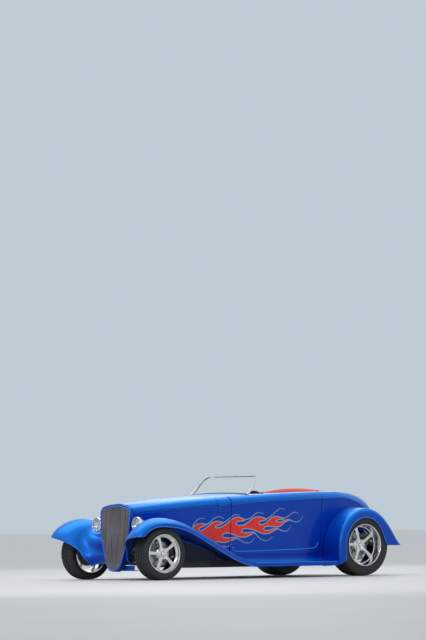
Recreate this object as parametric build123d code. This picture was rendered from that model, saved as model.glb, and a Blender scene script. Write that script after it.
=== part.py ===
from build123d import *
from math import atan2, cos, hypot, radians, sin
import os

# Street rod roadster, in millimetres: +X forward, +Y to the car's left, +Z up.
# The origin is on the floor under the middle of the car.

# Stance
wheelbase = 2845
front_axle_x = 1530
rear_axle_x = front_axle_x - wheelbase
front_wheel_y = 686
rear_wheel_y = 728.5

# Wheels: tyre radius and width, rim lip radius, hub face depth behind the outer lip
front_tyre_r = 293
front_tyre_width = 200
front_lip_r = 218
front_dish = 42
rear_tyre_r = 354
rear_tyre_width = 257
rear_lip_r = 243
rear_dish = 95
rim_wall = 7
hub_r = 74
spoke_count = 5
first_spoke = -75
spindle_r = 16
running_gap = 0.05
front_disc_r = 140
rear_disc_r = 150
disc_thick = 22
spoke_sections = [
    (30, 60, 34, -13),
    (85, 34, 30, 0),
    (125, 33, 26, 4),
]
spoke_end = (72, 22, -9)

# Body shell
wall = 45
hood_wall = 12
seam = 5
fixed_seam = 1.5
hood_rear_x = 620
tail_start_x = -1150
hood_front_x = 1600
belt_front_z = 745
belt_rear_z = 822
apron_top_z = 500
door_front_x = 450
door_rear_x = -850
door_low_z = 262
door_corner_front_r = 60
door_corner_rear_r = 75
door_bevel = 0.12
hinge_y = 668
sill_low_z = 200
cockpit_front_x = 70
cockpit_half = 530
cockpit_rear_x = -1320
deck_front_x = -1420
deck_rear_x = -1840
deck_half = 330
deck_wall = 16
axle_arch_r = 235

# Body sections from the grille shell to the tail:
# x, low half width, low z, belt half width, belt z, shoulder half width, shoulder z, crown z
body_sections = [
    (1600, 172, 200, 283, 745, 232, 817, 848),
    (1150, 350, 200, 428, 780, 352, 867, 893),
    (620, 520, 200, 588, 822, 500, 909, 932),
    (100, 598, 200, 650, 864, 565, 941, 964),
    (-600, 605, 200, 662, 893, 575, 966, 988),
    (-1150, 560, 215, 598, 905, 500, 975, 992),
    (-1500, 490, 250, 525, 840, 400, 938, 966),
    (-1790, 385, 300, 410, 680, 305, 825, 874),
    (-1960, 200, 400, 210, 500, 150, 600, 640),
]

# Front fender, round the wheel, as slices through the axle line, by angle up from straight ahead:
# angle, radius at the lip, corner radius, crown y and radius, valley y and radius, radius at the root
front_fender_slices = [
    (-45, 330, 40, 575, 490, 205, 144, 127),
    (-22, 345, 41, 608, 460, 205, 112, 97),
    (0, 355, 42, 640, 440, 205, 104, 90),
    (24, 388, 44, 735, 467, 225, 116, 98),
    (55, 345, 50, 725, 427, 280, 186, 158),
    (90, 298, 54, 695, 397, 355, 228, 222),
    (122, 328, 52, 705, 425, 400, 262, 256),
]
# and down its tail, as slices across it: angle of the slice, crown x and z, depth of the lip below the crown,
# corner radius, crown y, valley y, depths of the valley and of the root
front_tail_slices = [
    (120, 1060, 548, 85, 46, 730, 470, 88, 94),
    (117, 760, 385, 78, 34, 755, 560, 34, 38),
    (112, 500, 257, 72, 24, 765, 600, 12, 14),
    (108, 390, 211, 60, 16, 770, 610, 6, 8),
    (97, 280, 176, 50, 12, 775, 620, 2, 3),
]
front_lip_y = 846
front_side_y = 842
front_root_y = 120
tail_reach = 400
# its leading edge in front view as one curve by its pull points, and the lower edge of the panel beside
# the grille shell
front_edge = [(375, 158), (430, 400), (560, 480), (900, 488)]
front_edge_x = 1690
front_panel_edge = [(0, 283), (375, 158), (900, 158), (900, 0), (0, 0)]
front_panel_x = 1590

# Rear fender, as slices through the axle line, by angle up from straight ahead:
# angle, radius at the lip, radius at the crown, corner radius, radius beside the body
rear_fender_slices = [
    (-30, 350, 450, 30, 500),
    (0, 297, 391, 34, 432),
    (45, 305, 391, 50, 432),
    (90, 318, 422, 62, 452),
    (135, 296, 431, 62, 458),
    (181, 336, 556, 50, 590),
]
rear_lip_y = 876
rear_side_y = 871
rear_inner_y = 340
fender_wall = 9

# Running boards
board_top_z = 176
board_low_z = 128
board_front_x = 300
board_rear_x = -928
board_outer_y = 845
board_inner_y = 600
board_wall = 12

# Grille shell: front view as half width and height, leaning back a little
shell_lean = 3.4
shell_foot_x = 1662
shell_depth = 70
shell_low_z = 92
shell_top_z = 848
shell_half_top = 283
shell_rim = 40
pan_half = 235
pan_rim_x = 1545
pan_middle_x = 1582
pan_low_z = 100
pan_top_z = 158
pan_wall = 8
bar_count = 21
bar_thick = 5
bar_depth = 22

# Windshield
glass_foot_x = 132
glass_foot_z = 946
glass_foot_half = cockpit_half - 10
glass_foot_rise = 24
glass_top_x = -62
glass_top_z = 1158
glass_top_half = glass_foot_half - 32
glass_corner_r = 105
glass_tube_r = 8
glass_thick = 5

# Cabin
bulkhead_x = -1112
shelf_front_x = -1040
seat_half = 500
seat_top_z = 1014
seat_side_z = 980
roll_r = 26
roll_z = 930
tunnel_half = 80
tunnel_top_z = 392
column_y = 330
exhaust_y = 250
exhaust_z = 155

# Frame rails
rail_top_z = 225
rail_low_z = 125
rail_kick_z = 520
rail_width = 50
rail_front_y = 145
rail_cowl_y = 420
rail_rear_y = 320

# Lamps
lamp_x = 1588
lamp_y = 372
lamp_z = 618
lamp_r = 86
tail_lamp_y = 300
tail_lamp_z = 600
tail_lamp_r = 40

# Steering
kingpin_y = 600
steer_arm_z = 290
rack_x = front_axle_x - 130

os.makedirs("parts", exist_ok=True)
nodes = {}


# Helpers

def block(x0, x1, y0, y1, z0, z1):
    return Pos((x0 + x1) / 2, (y0 + y1) / 2, (z0 + z1) / 2) * Box(abs(x1 - x0), abs(y1 - y0), abs(z1 - z0))


def rod(start, end, radius):
    a, b = Vector(*start), Vector(*end)
    direction = b - a
    return extrude(Plane(a, z_dir=direction) * Circle(radius), direction.length)


def side_plane(y):
    # local x is the car's x, local y is the car's z, and an extrusion goes towards -Y
    return Plane((0, y, 0), x_dir=(1, 0, 0), z_dir=(0, -1, 0))


def cross_plane(x):
    # local x is the car's y, local y is the car's z
    return Plane((x, 0, 0), x_dir=(0, 1, 0), z_dir=(1, 0, 0))


def side_slab(points, y0, y1):
    return extrude(side_plane(y1) * make_face(Polyline(*points, close=True)), y1 - y0)


def plan_slab(points, z0, z1):
    return extrude(Plane((0, 0, z0)) * make_face(Polyline(*points, close=True)), z1 - z0)


def other_side(part):
    return mirror(part, Plane.XZ)


def pair(part):
    return Part() + [part, other_side(part)]


def circle_centre(a, b, c):
    d = 2 * (a[0] * (b[1] - c[1]) + b[0] * (c[1] - a[1]) + c[0] * (a[1] - b[1]))
    aa, bb, cc = (p[0] ** 2 + p[1] ** 2 for p in (a, b, c))
    u = (aa * (b[1] - c[1]) + bb * (c[1] - a[1]) + cc * (a[1] - b[1])) / d
    v = (aa * (c[0] - b[0]) + bb * (a[0] - c[0]) + cc * (b[0] - a[0])) / d
    return u, v


def arc_middle(start, centre, end):
    # middle of the arc that leaves the circle about centre, tangent to it, and ends at end
    du, dv = centre[0] - start[0], centre[1] - start[1]
    length = hypot(du, dv)
    du, dv = du / length, dv / length
    cu, cv = end[0] - start[0], end[1] - start[1]
    radius = (cu * cu + cv * cv) / (2 * (cu * du + cv * dv))
    ou, ov = start[0] + radius * du, start[1] + radius * dv
    mu, mv = (start[0] + end[0]) / 2 - ou, (start[1] + end[1]) / 2 - ov
    size = hypot(mu, mv)
    return ou + abs(radius) * mu / size, ov + abs(radius) * mv / size


# Body hull

def body_face(section, inset, drop):
    x, low_y, low_z, belt_y, belt_z, shoulder_y, shoulder_z, crown_z = section
    low = (low_y - inset, low_z - drop)
    belt = (belt_y - inset, belt_z - 0.3 * inset)
    shoulder = (shoulder_y - 0.7 * inset, shoulder_z - 0.8 * inset)
    crown = (0, crown_z - inset)
    left = (-shoulder[0], shoulder[1])
    centre = circle_centre(shoulder, crown, left)
    corner = arc_middle(shoulder, centre, belt)
    edges = [
        Line((-low[0], low[1]), low),
        Line(low, belt),
        ThreePointArc(belt, corner, shoulder),
        ThreePointArc(shoulder, crown, left),
        ThreePointArc(left, (-corner[0], corner[1]), (-belt[0], belt[1])),
        Line((-belt[0], belt[1]), (-low[0], low[1])),
    ]
    return cross_plane(x) * make_face(edges)


def body_hull(inset, drop):
    cabin = [row for row in body_sections if tail_start_x <= row[0] <= hood_rear_x]
    tail = [row for row in body_sections if row[0] <= tail_start_x]
    return Part() + [loft([body_face(row, inset, drop) for row in run]) for run in (cabin, tail)]


def hood_hull(inset, drop):
    return loft([body_face(section, inset, drop) for section in body_sections if section[0] >= hood_rear_x])


open_drop = 60
trim_drop = 120
hollow = body_hull(wall, open_drop)
body_walls = body_hull(0, 0) - hollow
hood_walls = hood_hull(0, 0) - hood_hull(hood_wall, open_drop)
body_trim = body_hull(0, trim_drop)
hood_trim = hood_hull(0, trim_drop)

reach = 900
seam_half = seam / 2


def above_belt(gap):
    return side_slab([
        (hood_rear_x + seam_half, belt_rear_z + gap),
        (hood_front_x + 10, belt_front_z + gap),
        (hood_front_x + 10, 1100),
        (hood_rear_x + seam_half, 1100),
    ], -reach, reach)


def below_belt(low_z):
    return side_slab([
        (hood_rear_x + seam_half, belt_rear_z - seam_half),
        (hood_front_x + 10, belt_front_z - seam_half),
        (hood_front_x + 10, low_z),
        (hood_rear_x + seam_half, low_z),
    ], -reach, reach)


def build_hood():
    grille_zone = shell_solid(-seam, shell_depth + seam)
    nodes["hood_top"] = (hood_walls & above_belt(seam_half)) - grille_zone
    sides = hood_walls & below_belt(apron_top_z)
    nodes["hood_sides"] = sides - shell_envelope()
    arm_notch = block(rack_x - 40, hood_front_x + 10, -reach, reach, 100, 470)
    aprons = hood_walls & block(hood_rear_x + seam_half, hood_front_x, -reach, reach, sill_low_z, apron_top_z)
    nodes["front_aprons"] = aprons - arm_notch - shell_envelope()


def door_region(grow):
    low = door_low_z - grow
    front, rear = door_front_x + grow, door_rear_x - grow
    outline = Polyline((front, 1100), (front, low), (rear, low), (rear, 1100), close=True)
    face = make_face(outline)
    face = fillet(face.vertices().sort_by(Axis.Y)[:2].sort_by(Axis.X)[1:], door_corner_front_r)
    face = fillet(face.vertices().filter_by(lambda v: abs(v.X - rear) < 1 and v.Y < 500), door_corner_rear_r)
    return extrude(side_plane(reach) * face, reach - cockpit_half)


def cockpit_space():
    straight_x = door_rear_x
    edges = [
        Line((cockpit_front_x, cockpit_half), (cockpit_front_x, -cockpit_half)),
        Line((cockpit_front_x, -cockpit_half), (straight_x, -cockpit_half)),
        ThreePointArc((straight_x, -cockpit_half), (cockpit_rear_x, 0), (straight_x, cockpit_half)),
        Line((straight_x, cockpit_half), (cockpit_front_x, cockpit_half)),
    ]
    return extrude(Plane((0, 0, 700)) * make_face(edges), 500)


def deck_region(grow):
    return block(deck_rear_x - grow, deck_front_x + grow, -deck_half - grow, deck_half + grow, 700, 1100)


def build_body():
    opening = cockpit_space()
    door_cut = door_region(seam)
    door_cuts = door_cut + other_side(door_cut)
    bevel = plan_slab([
        (door_front_x, hinge_y), (door_front_x + 20, hinge_y), (door_front_x + 20, 400),
        (door_front_x - (hinge_y - 400) * door_bevel, 400),
    ], 0, 1200)
    door = (body_walls & door_region(0)) - opening - bevel
    nodes["door_left"] = door
    nodes["door_right"] = other_side(door)
    cowl_zone = block(cockpit_front_x, hood_rear_x - seam_half, -reach, reach, 0, 1100)
    sill_zone = block(door_rear_x - seam, hood_rear_x - seam_half, -reach, reach, 0, door_low_z)
    corner = door_corner_rear_r + 2 * seam
    sill_zone += block(door_rear_x - seam, door_rear_x + corner, -reach, reach, 0, door_low_z + corner)
    cowl = (body_walls & cowl_zone) - door_cuts - block(0, door_front_x + seam, -reach, reach, 0, door_low_z)
    nodes["cowl"] = cowl - opening
    nodes["sills"] = (body_walls & sill_zone) - door_cuts - block(door_front_x + seam, 700, -reach, reach, 0, 900)
    rear_zone = block(-2100, door_rear_x - seam, -reach, reach, 0, 1100)
    rear = (body_walls & rear_zone) - door_cuts - opening
    lid = (body_trim - body_hull(deck_wall, open_drop)) & deck_region(0)
    axle_arch = extrude(side_plane(reach) * Pos(rear_axle_x, rear_tyre_r) * Circle(axle_arch_r), 2 * reach)
    nodes["rear_body"] = rear - deck_region(seam) - axle_arch
    nodes["deck_lid"] = lid


# Fenders

def front_fender_face(row, thick):
    angle, foot_x, foot_z, lip_r, corner_r, crown_y, crown_r, valley_y, valley_r, root_r = row
    outward = Vector(cos(radians(angle)), 0, sin(radians(angle)))
    plane = Plane((foot_x, 0, foot_z), x_dir=(0, 1, 0), z_dir=Vector(0, 1, 0).cross(outward))

    half_y, half_r = (crown_y - valley_y) / 2, (crown_r - valley_r) / 2
    tilt = 2 * atan2(half_r, half_y)

    def rim(shift):
        # from the root up out of the valley, over the crown and down to the lip
        valley = (valley_y, valley_r - shift)
        crown = (crown_y, crown_r - shift)
        slope = (valley_y + half_y + shift * sin(tilt), valley_r + half_r - shift * cos(tilt))
        side = (front_side_y - shift, crown_r - 1.15 * corner_r)
        return [
            (front_root_y, root_r - shift), valley,
            arc_middle(valley, (valley_y, valley_r + reach), slope), slope,
            arc_middle(crown, (crown_y, 0), slope), crown,
            arc_middle(crown, (crown_y, 0), side), side,
            (front_lip_y - shift, lip_r),
        ]

    top, under = rim(0), rim(thick)
    edges = [
        Line(top[0], top[1]), ThreePointArc(*top[1:4]), ThreePointArc(*top[3:6]), ThreePointArc(*top[5:8]),
        Line(top[7], top[8]), Line(top[8], under[8]), Line(under[8], under[7]),
        ThreePointArc(*reversed(under[5:8])), ThreePointArc(*reversed(under[3:6])),
        ThreePointArc(*reversed(under[1:4])), Line(under[1], under[0]), Line(under[0], top[0]),
    ]
    return plane * make_face(edges)


def front_fender_rows():
    for angle, *row in front_fender_slices:
        yield angle, front_axle_x, front_tyre_r, *row
    for angle, crown_x, crown_z, lip_depth, corner_r, crown_y, valley_y, valley_depth, root_depth in front_tail_slices:
        foot_x = crown_x - tail_reach * cos(radians(angle))
        foot_z = crown_z - tail_reach * sin(radians(angle))
        yield (angle, foot_x, foot_z, tail_reach - lip_depth, corner_r, crown_y, tail_reach,
               valley_y, tail_reach - valley_depth, tail_reach - root_depth)


def front_edge_cut():
    low, tip = front_edge[0], front_edge[-1]
    edges = [Bezier(*front_edge), Line(tip, (tip[0], 0)), Line((tip[0], 0), (low[0], 0)), Line((low[0], 0), low)]
    ahead = extrude(cross_plane(front_edge_x) * make_face(edges), 400)
    below = cross_plane(front_panel_x) * make_face(Polyline(*front_panel_edge, close=True))
    return ahead + extrude(below, 500)


def rear_fender_face(row, thick):
    angle, lip_r, crown_r, corner_r, inner_r = row
    outward = Vector(cos(radians(angle)), 0, sin(radians(angle)))
    plane = Plane((rear_axle_x, 0, rear_tyre_r), x_dir=(0, 1, 0), z_dir=Vector(0, 1, 0).cross(outward))
    middle = (rear_side_y - corner_r, crown_r - corner_r)

    def rim(shift):
        radius = corner_r - shift
        diagonal = radius * sin(radians(45))
        return [
            (rear_inner_y, inner_r - shift),
            (middle[0], middle[1] + radius),
            (middle[0] + diagonal, middle[1] + diagonal),
            (middle[0] + radius, middle[1]),
            (rear_lip_y - shift, lip_r),
        ]

    top, under = rim(0), rim(thick)
    edges = [
        Line(top[0], top[1]), ThreePointArc(top[1], top[2], top[3]), Line(top[3], top[4]),
        Line(top[4], under[4]),
        Line(under[4], under[3]), ThreePointArc(under[3], under[2], under[1]), Line(under[1], under[0]),
        Line(under[0], top[0]),
    ]
    return plane * make_face(edges)


def build_fenders():
    front = loft([front_fender_face(row, fender_wall) for row in front_fender_rows()])
    front = front - front_edge_cut() - body_trim - hood_trim - shell_envelope()
    front = front - block(0, board_front_x, 0, reach, 0, 600)
    rear = loft([rear_fender_face(row, fender_wall) for row in rear_fender_slices])
    rear = rear - body_trim
    front = max(front.solids(), key=lambda s: s.volume)
    rear = max(rear.solids(), key=lambda s: s.volume)
    for name, part in (("front_fender", front), ("rear_fender", rear)):
        nodes[name + "_left"] = part
        nodes[name + "_right"] = other_side(part)


def build_boards():
    section = make_face(Polyline(
        (board_inner_y, board_top_z), (board_outer_y - 12, board_top_z), (board_outer_y, board_top_z - 12),
        (board_outer_y, board_low_z), (board_outer_y - board_wall, board_low_z),
        (board_outer_y - board_wall, board_top_z - board_wall), (board_inner_y, board_top_z - board_wall),
        close=True))
    board = extrude(cross_plane(board_rear_x + 2) * section, board_front_x - board_rear_x - 4)
    board = board - body_trim - nodes["rear_fender_left"] - nodes["front_fender_left"]
    board = max(board.solids(), key=lambda s: s.volume)
    nodes["running_boards"] = pair(board)


# Grille

def shell_outline(inset):
    # front view: half widths at the top corner, at mid height and at the foot
    half_top = shell_half_top - inset
    top = shell_top_z - inset
    low = shell_low_z + inset
    edges = [
        ThreePointArc((-half_top + 52, top - 31), (0, top), (half_top - 52, top - 31)),
        ThreePointArc((half_top - 52, top - 31), (half_top - 15, top - 60), (half_top, top - 105)),
        ThreePointArc((half_top, top - 105), (half_top - 50, top - 420), (half_top * 0.45, low + 60)),
        ThreePointArc((half_top * 0.45, low + 60), (0, low), (-half_top * 0.45, low + 60)),
        ThreePointArc((-half_top * 0.45, low + 60), (-half_top + 50, top - 420), (-half_top, top - 105)),
        ThreePointArc((-half_top, top - 105), (-half_top + 15, top - 60), (-half_top + 52, top - 31)),
    ]
    return make_face(edges)


def shell_plane():
    lean = Plane((shell_foot_x, 0, shell_low_z), x_dir=(0, 1, 0),
                 z_dir=(cos(radians(shell_lean)), 0, sin(radians(shell_lean))))
    return lean


def shell_solid(inset, depth, start=0):
    face = Pos(0, -shell_low_z, 0) * shell_outline(inset)
    plane = shell_plane()
    return extrude(plane.offset(-start - depth) * face, depth)


def shell_envelope():
    return shell_solid(0, shell_depth)


def build_grille():
    outside = shell_solid(0, shell_depth)
    nodes["grille_shell"] = outside - shell_solid(shell_rim, shell_depth + 20, -10)
    opening = shell_solid(shell_rim, bar_depth, 12)
    width = 2 * (shell_half_top - shell_rim)
    pitch = width / bar_count
    bars = Part()
    for i in range(bar_count):
        y = -width / 2 + pitch * (i + 0.5)
        bars += block(1500, 1700, y - bar_thick / 2, y + bar_thick / 2, 0, 900)
    plate = shell_solid(shell_rim, 6, 34)
    nodes["grille_bars"] = (bars & opening) + plate


def build_pan():
    # a curved valance just behind the foot of the grille shell
    def bow(shift):
        rim, middle = (pan_rim_x - shift, pan_half), (pan_middle_x - shift, 0)
        return make_face([
            ThreePointArc((rim[0], -pan_half), middle, rim),
            Line(rim, (pan_rim_x - 60, pan_half)), Line((pan_rim_x - 60, pan_half), (pan_rim_x - 60, -pan_half)),
            Line((pan_rim_x - 60, -pan_half), (rim[0], -pan_half)),
        ])

    outer = extrude(Plane((0, 0, pan_low_z)) * bow(0), pan_top_z - pan_low_z)
    inner = extrude(Plane((0, 0, pan_low_z + pan_wall)) * bow(pan_wall), pan_top_z - pan_low_z)
    nodes["front_pan"] = outer - inner


# Windshield

def glass_plane():
    rise = Vector(glass_top_x - glass_foot_x, 0, glass_top_z - glass_foot_z)
    return Plane((glass_foot_x, 0, glass_foot_z), x_dir=(0, 1, 0), z_dir=Vector(0, 1, 0).cross(rise))


def build_windshield():
    height = hypot(glass_top_x - glass_foot_x, glass_top_z - glass_foot_z)
    foot, top = (glass_foot_half, 0), (glass_top_half, height)
    outline = make_face([
        ThreePointArc((-foot[0], 0), (0, glass_foot_rise), foot),
        Line(foot, top), Line(top, (-top[0], height)), Line((-top[0], height), (-foot[0], 0)),
    ])
    face = fillet(outline.vertices().sort_by(Axis.Y)[2:], glass_corner_r)
    inner = offset(face, -glass_tube_r * 1.6)
    plane = glass_plane()
    frame = extrude(plane.offset(-glass_tube_r) * (face - inner), 2 * glass_tube_r)
    pane = extrude(plane.offset(-glass_thick / 2) * inner, glass_thick)
    nodes["windshield_frame"] = frame - body_trim
    nodes["windshield_glass"] = pane - body_trim


# Cockpit

def build_cockpit():
    tunnel = block(-1130, 610, -tunnel_half, tunnel_half, rail_top_z, tunnel_top_z)
    tunnel_space = block(-1140, 620, -tunnel_half + 6, tunnel_half - 6, 0, tunnel_top_z - 6)
    floor = block(bulkhead_x, 610, -540, 540, rail_top_z, rail_top_z + 12) & hollow
    walls = (block(598, 610, -700, 700, rail_top_z, 1000) & hollow) - block(590, 620, -700, 700, 0, rail_top_z)
    bulkhead = block(bulkhead_x, bulkhead_x + 12, -700, 700, rail_top_z, 800) & hollow
    pan = floor + walls + bulkhead + (tunnel & block(bulkhead_x, 610, -200, 200, 0, 500))
    nodes["floor_pan"] = pan - tunnel_space
    nodes["boot_floor"] = block(-1700, bulkhead_x, -300, 300, rail_kick_z, rail_kick_z + 12)
    inside = body_hull(wall + 6, open_drop)
    column = rod((260, column_y, 680), (-150, column_y, 816), 30)
    nodes["dashboard"] = (block(95, 150, -500, 500, 770, 905) & hollow) - column
    nodes["seat_cushion"] = block(-800, -300, -500, 500, tunnel_top_z + 4, tunnel_top_z + 114) & inside
    back = side_slab([
        (-806, 410), (-806, 530), (-878, 940), (-885, 1100), (-1020, 1100), (-1030, 940), (-1060, 410),
    ], -seat_half, seat_half)
    crown = make_face([
        ThreePointArc((-seat_half, seat_side_z), (0, seat_top_z), (seat_half, seat_side_z)),
        Line((seat_half, seat_side_z), (seat_half, 0)), Line((seat_half, 0), (-seat_half, 0)),
        Line((-seat_half, 0), (-seat_half, seat_side_z)),
    ])
    room = inside + (cockpit_space() & block(-1030, -800, -reach, reach, 900, 1100))
    nodes["seat_back"] = back & room & extrude(cross_plane(-1200) * crown, 500)


def build_rolls():
    y = cockpit_half - roll_r
    door_roll = rod((cockpit_front_x - 25, y, roll_z - 8), (door_rear_x + 4, y, roll_z + 12), roll_r)
    door_roll = door_roll - nodes["door_left"]
    nodes["door_roll_left"] = max(door_roll.solids(), key=lambda s: s.volume)
    nodes["door_roll_right"] = other_side(nodes["door_roll_left"])
    shelf = block(cockpit_rear_x - 10, shelf_front_x, -reach, reach, 905, 940) & cockpit_space()
    nodes["rear_shelf"] = shelf - nodes["rear_body"] - nodes["seat_back"]


# Lamps

def build_lamps():
    lamp = Pos(lamp_x, lamp_y, lamp_z) * Rot(0, 90, 0) * Rot(0, 0, 37) * revolve(
        Plane.XZ * make_face([
            Line((0, -95), (0, 40)),
            ThreePointArc((0, 40), (lamp_r / 2, 37), (lamp_r, 28)),
            Line((lamp_r, 28), (lamp_r, 0)),
            ThreePointArc((lamp_r, 0), (62, -62), (0, -95)),
        ]), Axis.Z)
    stem = rod((lamp_x - 40, lamp_y, lamp_z - 40), (lamp_x - 40, lamp_y, 460), 14) - nodes["front_fender_left"]
    stem = stem.solids().sort_by(Axis.Z)[-1]
    nodes["headlamps"] = pair(lamp + stem)
    tail = rod((-1700, tail_lamp_y, tail_lamp_z), (-1915, tail_lamp_y, tail_lamp_z), tail_lamp_r) - body_trim
    nodes["tail_lamps"] = pair(tail.solids().sort_by(Axis.X)[0])


# Frame and drive line

def build_frame():
    profile = [
        (1575, 165), (1575, 250), (1250, 260), (900, rail_top_z), (-1120, rail_top_z), (-1225, rail_kick_z),
        (-1640, rail_kick_z), (-1790, 450), (-1790, 380), (-1640, 430), (-1262, 430), (-1150, rail_low_z),
        (900, rail_low_z), (1250, 165),
    ]
    side = side_slab(profile, 0, 600)
    plan = plan_slab([
        (1600, rail_front_y), (hood_rear_x, rail_cowl_y), (-1100, rail_cowl_y), (-1810, rail_rear_y),
        (-1810, rail_rear_y - rail_width), (-1108, rail_cowl_y - rail_width),
        (hood_rear_x - 20, rail_cowl_y - rail_width), (1600, rail_front_y - rail_width),
    ], 0, 900)
    rails = pair(side & plan)
    rails += block(1480, 1575, -140, 140, 170, 245)
    rails += block(150, 230, -400, 400, 188, 218)
    rails += block(-1760, -1710, -300, 300, 440, 490)
    nodes["frame_rails"] = rails


def build_engine():
    nodes["engine"] = block(800, 1350, -130, 130, 165, 300) + block(800, 1350, -230, 230, 300, 740)
    nodes["gearbox"] = rod((810, 0, 300), (290, 0, 285), 70) - nodes["engine"]
    housing = rod((rear_axle_x, -rear_wheel_y + 60, rear_tyre_r), (rear_axle_x, rear_wheel_y - 60, rear_tyre_r), 38)
    housing += Pos(rear_axle_x, 0, rear_tyre_r) * Sphere(120)
    nodes["rear_axle"] = housing
    shaft = rod((300, 0, 285), (rear_axle_x + 90, 0, 335), 32)
    nodes["driveshaft"] = shaft - nodes["gearbox"] - housing
    nodes["fuel_tank"] = block(-1760, -1500, -250, 250, 300, 425)
    pipe = rod((980, exhaust_y, 360), (860, exhaust_y, exhaust_z), 25)
    pipe += Pos(860, exhaust_y, exhaust_z) * Sphere(25)
    pipe += rod((860, exhaust_y, exhaust_z), (-1420, exhaust_y, exhaust_z), 25)
    pipe += Pos(-1420, exhaust_y, exhaust_z) * Sphere(25)
    pipe += rod((-1420, exhaust_y, exhaust_z), (-1870, exhaust_y, exhaust_z + 70), 25)
    nodes["exhaust_pipes"] = pair(pipe - nodes["engine"])


def build_axles():
    rails = nodes["frame_rails"]
    lower = rod((front_axle_x, 100, 205), (front_axle_x, kingpin_y - 32, 180), 16) - rails
    upper = rod((front_axle_x, 100, 250), (front_axle_x, 300, 430), 16) - rails
    upper += rod((front_axle_x, 300, 430), (front_axle_x, kingpin_y - 32, 415), 12)
    nodes["front_suspension"] = Part() + [
        max(lower.solids(), key=lambda s: s.volume),
        max(upper.solids(), key=lambda s: s.volume),
    ]
    nodes["front_suspension"] = pair(nodes["front_suspension"])
    post = rod((rear_axle_x, 350, rear_tyre_r), (rear_axle_x, 350, 428), 24) - nodes["rear_axle"]
    nodes["rear_springs"] = pair(post)
    hanger = rod((rear_axle_x, 345, rear_tyre_r), (rear_axle_x, 345, 258), 12) - nodes["rear_axle"]
    hanger = hanger.solids().sort_by(Axis.Z)[0]
    link = rod((rear_axle_x, 345, 258), (-880, 345, 150), 12) + Pos(rear_axle_x, 345, 258) * Sphere(14)
    nodes["rear_links"] = pair(hanger + link + rod((-880, 345, 150), (-880, rail_cowl_y - rail_width, 150), 12))
    rack = rod((rack_x, -250, steer_arm_z), (rack_x, 250, steer_arm_z), 22)
    for side in (-1, 1):
        rack += rod((rack_x, side * 250, steer_arm_z), (rack_x, side * 350, steer_arm_z), 28)
        rack += rod((rack_x, side * 350, steer_arm_z), (rack_x, side * 490, steer_arm_z), 8)
    nodes["steering_rack"] = rack
    knuckle = rod((front_axle_x, kingpin_y, 160), (front_axle_x, kingpin_y, 430), 20)
    knuckle += rod((front_axle_x, kingpin_y, front_tyre_r), (front_axle_x, front_wheel_y + 40, front_tyre_r), spindle_r)
    knuckle += rod((front_axle_x, kingpin_y, steer_arm_z), (rack_x, kingpin_y - 20, steer_arm_z), 10)
    nodes["knuckle_left"] = knuckle
    nodes["knuckle_right"] = other_side(knuckle)


# Steering

def build_steering():
    axis = Vector(-410, 0, 136).normalized()
    foot = Vector(560, column_y, 580.5)
    hub = Vector(-160, column_y, 819.3)
    nodes["steering_column"] = rod(foot, hub - axis * 30, 20)
    plane = Plane(hub, x_dir=(0, 1, 0), z_dir=axis)
    ring = plane * Torus(165, 12)
    ring += extrude(plane.offset(-22) * Circle(28), 34)
    for angle in (0, 120, 240):
        spoke = plane * (Rot(0, 0, angle + 90) * Pos(90, 0, 0) * Box(140, 26, 6))
        ring += spoke
    nodes["steering_wheel"] = ring


# Wheels

def tyre_ring(tyre_r, lip_r, width):
    half = width / 2
    bead = lip_r - 12
    shoulder = 28
    face = make_face([
        Line((bead, -half + 14), (bead, half - 14)),
        Line((bead, half - 14), (lip_r + 4, half - 6)),
        ThreePointArc((lip_r + 4, half - 6), ((lip_r + tyre_r) / 2, half), (tyre_r - shoulder, half - 6)),
        ThreePointArc((tyre_r - shoulder, half - 6), (tyre_r - 8, half - 14), (tyre_r, half - 34)),
        Line((tyre_r, half - 34), (tyre_r, -half + 34)),
        ThreePointArc((tyre_r, -half + 34), (tyre_r - 8, -half + 14), (tyre_r - shoulder, -half + 6)),
        ThreePointArc((tyre_r - shoulder, -half + 6), ((lip_r + tyre_r) / 2, -half), (lip_r + 4, -half + 6)),
        Line((lip_r + 4, -half + 6), (bead, -half + 14)),
    ])
    return Rot(-90, 0, 0) * revolve(Plane.XZ * face, Axis.Z)


def rim_solid(lip_r, width, dish, disc_r):
    # built with its axis on Z, the street side up
    half = width / 2
    seat = lip_r - 12
    barrel = make_face([
        Line((seat, -half + 14), (seat, half - 14)),
        Line((seat, half - 14), (lip_r, half - 8)),
        Line((lip_r, half - 8), (lip_r - 3, half - 2)),
        Line((lip_r - 3, half - 2), (seat - rim_wall, half - 8)),
        Line((seat - rim_wall, half - 8), (seat - rim_wall, -half + 14)),
        Line((seat - rim_wall, -half + 14), (seat, -half + 14)),
    ])
    rim = revolve(Plane.XZ * barrel, Axis.Z)
    face_z = half - dish
    rim += Pos(0, 0, face_z - 22) * Cylinder(hub_r, 36)
    rows = spoke_sections + [(seat - rim_wall / 2, *spoke_end)]
    spoke = loft([
        Plane((out, 0, face_z - 12 + rise), x_dir=(0, 1, 0), z_dir=(1, 0, 0)) * Rectangle(wide, thick)
        for out, wide, thick, rise in rows])
    for i in range(spoke_count):
        rim += Rot(0, 0, first_spoke + 360 / spoke_count * i) * spoke
    rim += Pos(0, 0, face_z - 40 - disc_thick / 2 - 4) * Cylinder(disc_r, disc_thick)
    rim += Pos(0, 0, face_z - 44) * Cylinder(60, 20)
    rim -= Pos(0, 0, face_z - 100) * Cylinder(spindle_r + running_gap, 180)
    return Rot(-90, 0, 0) * rim


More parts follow.
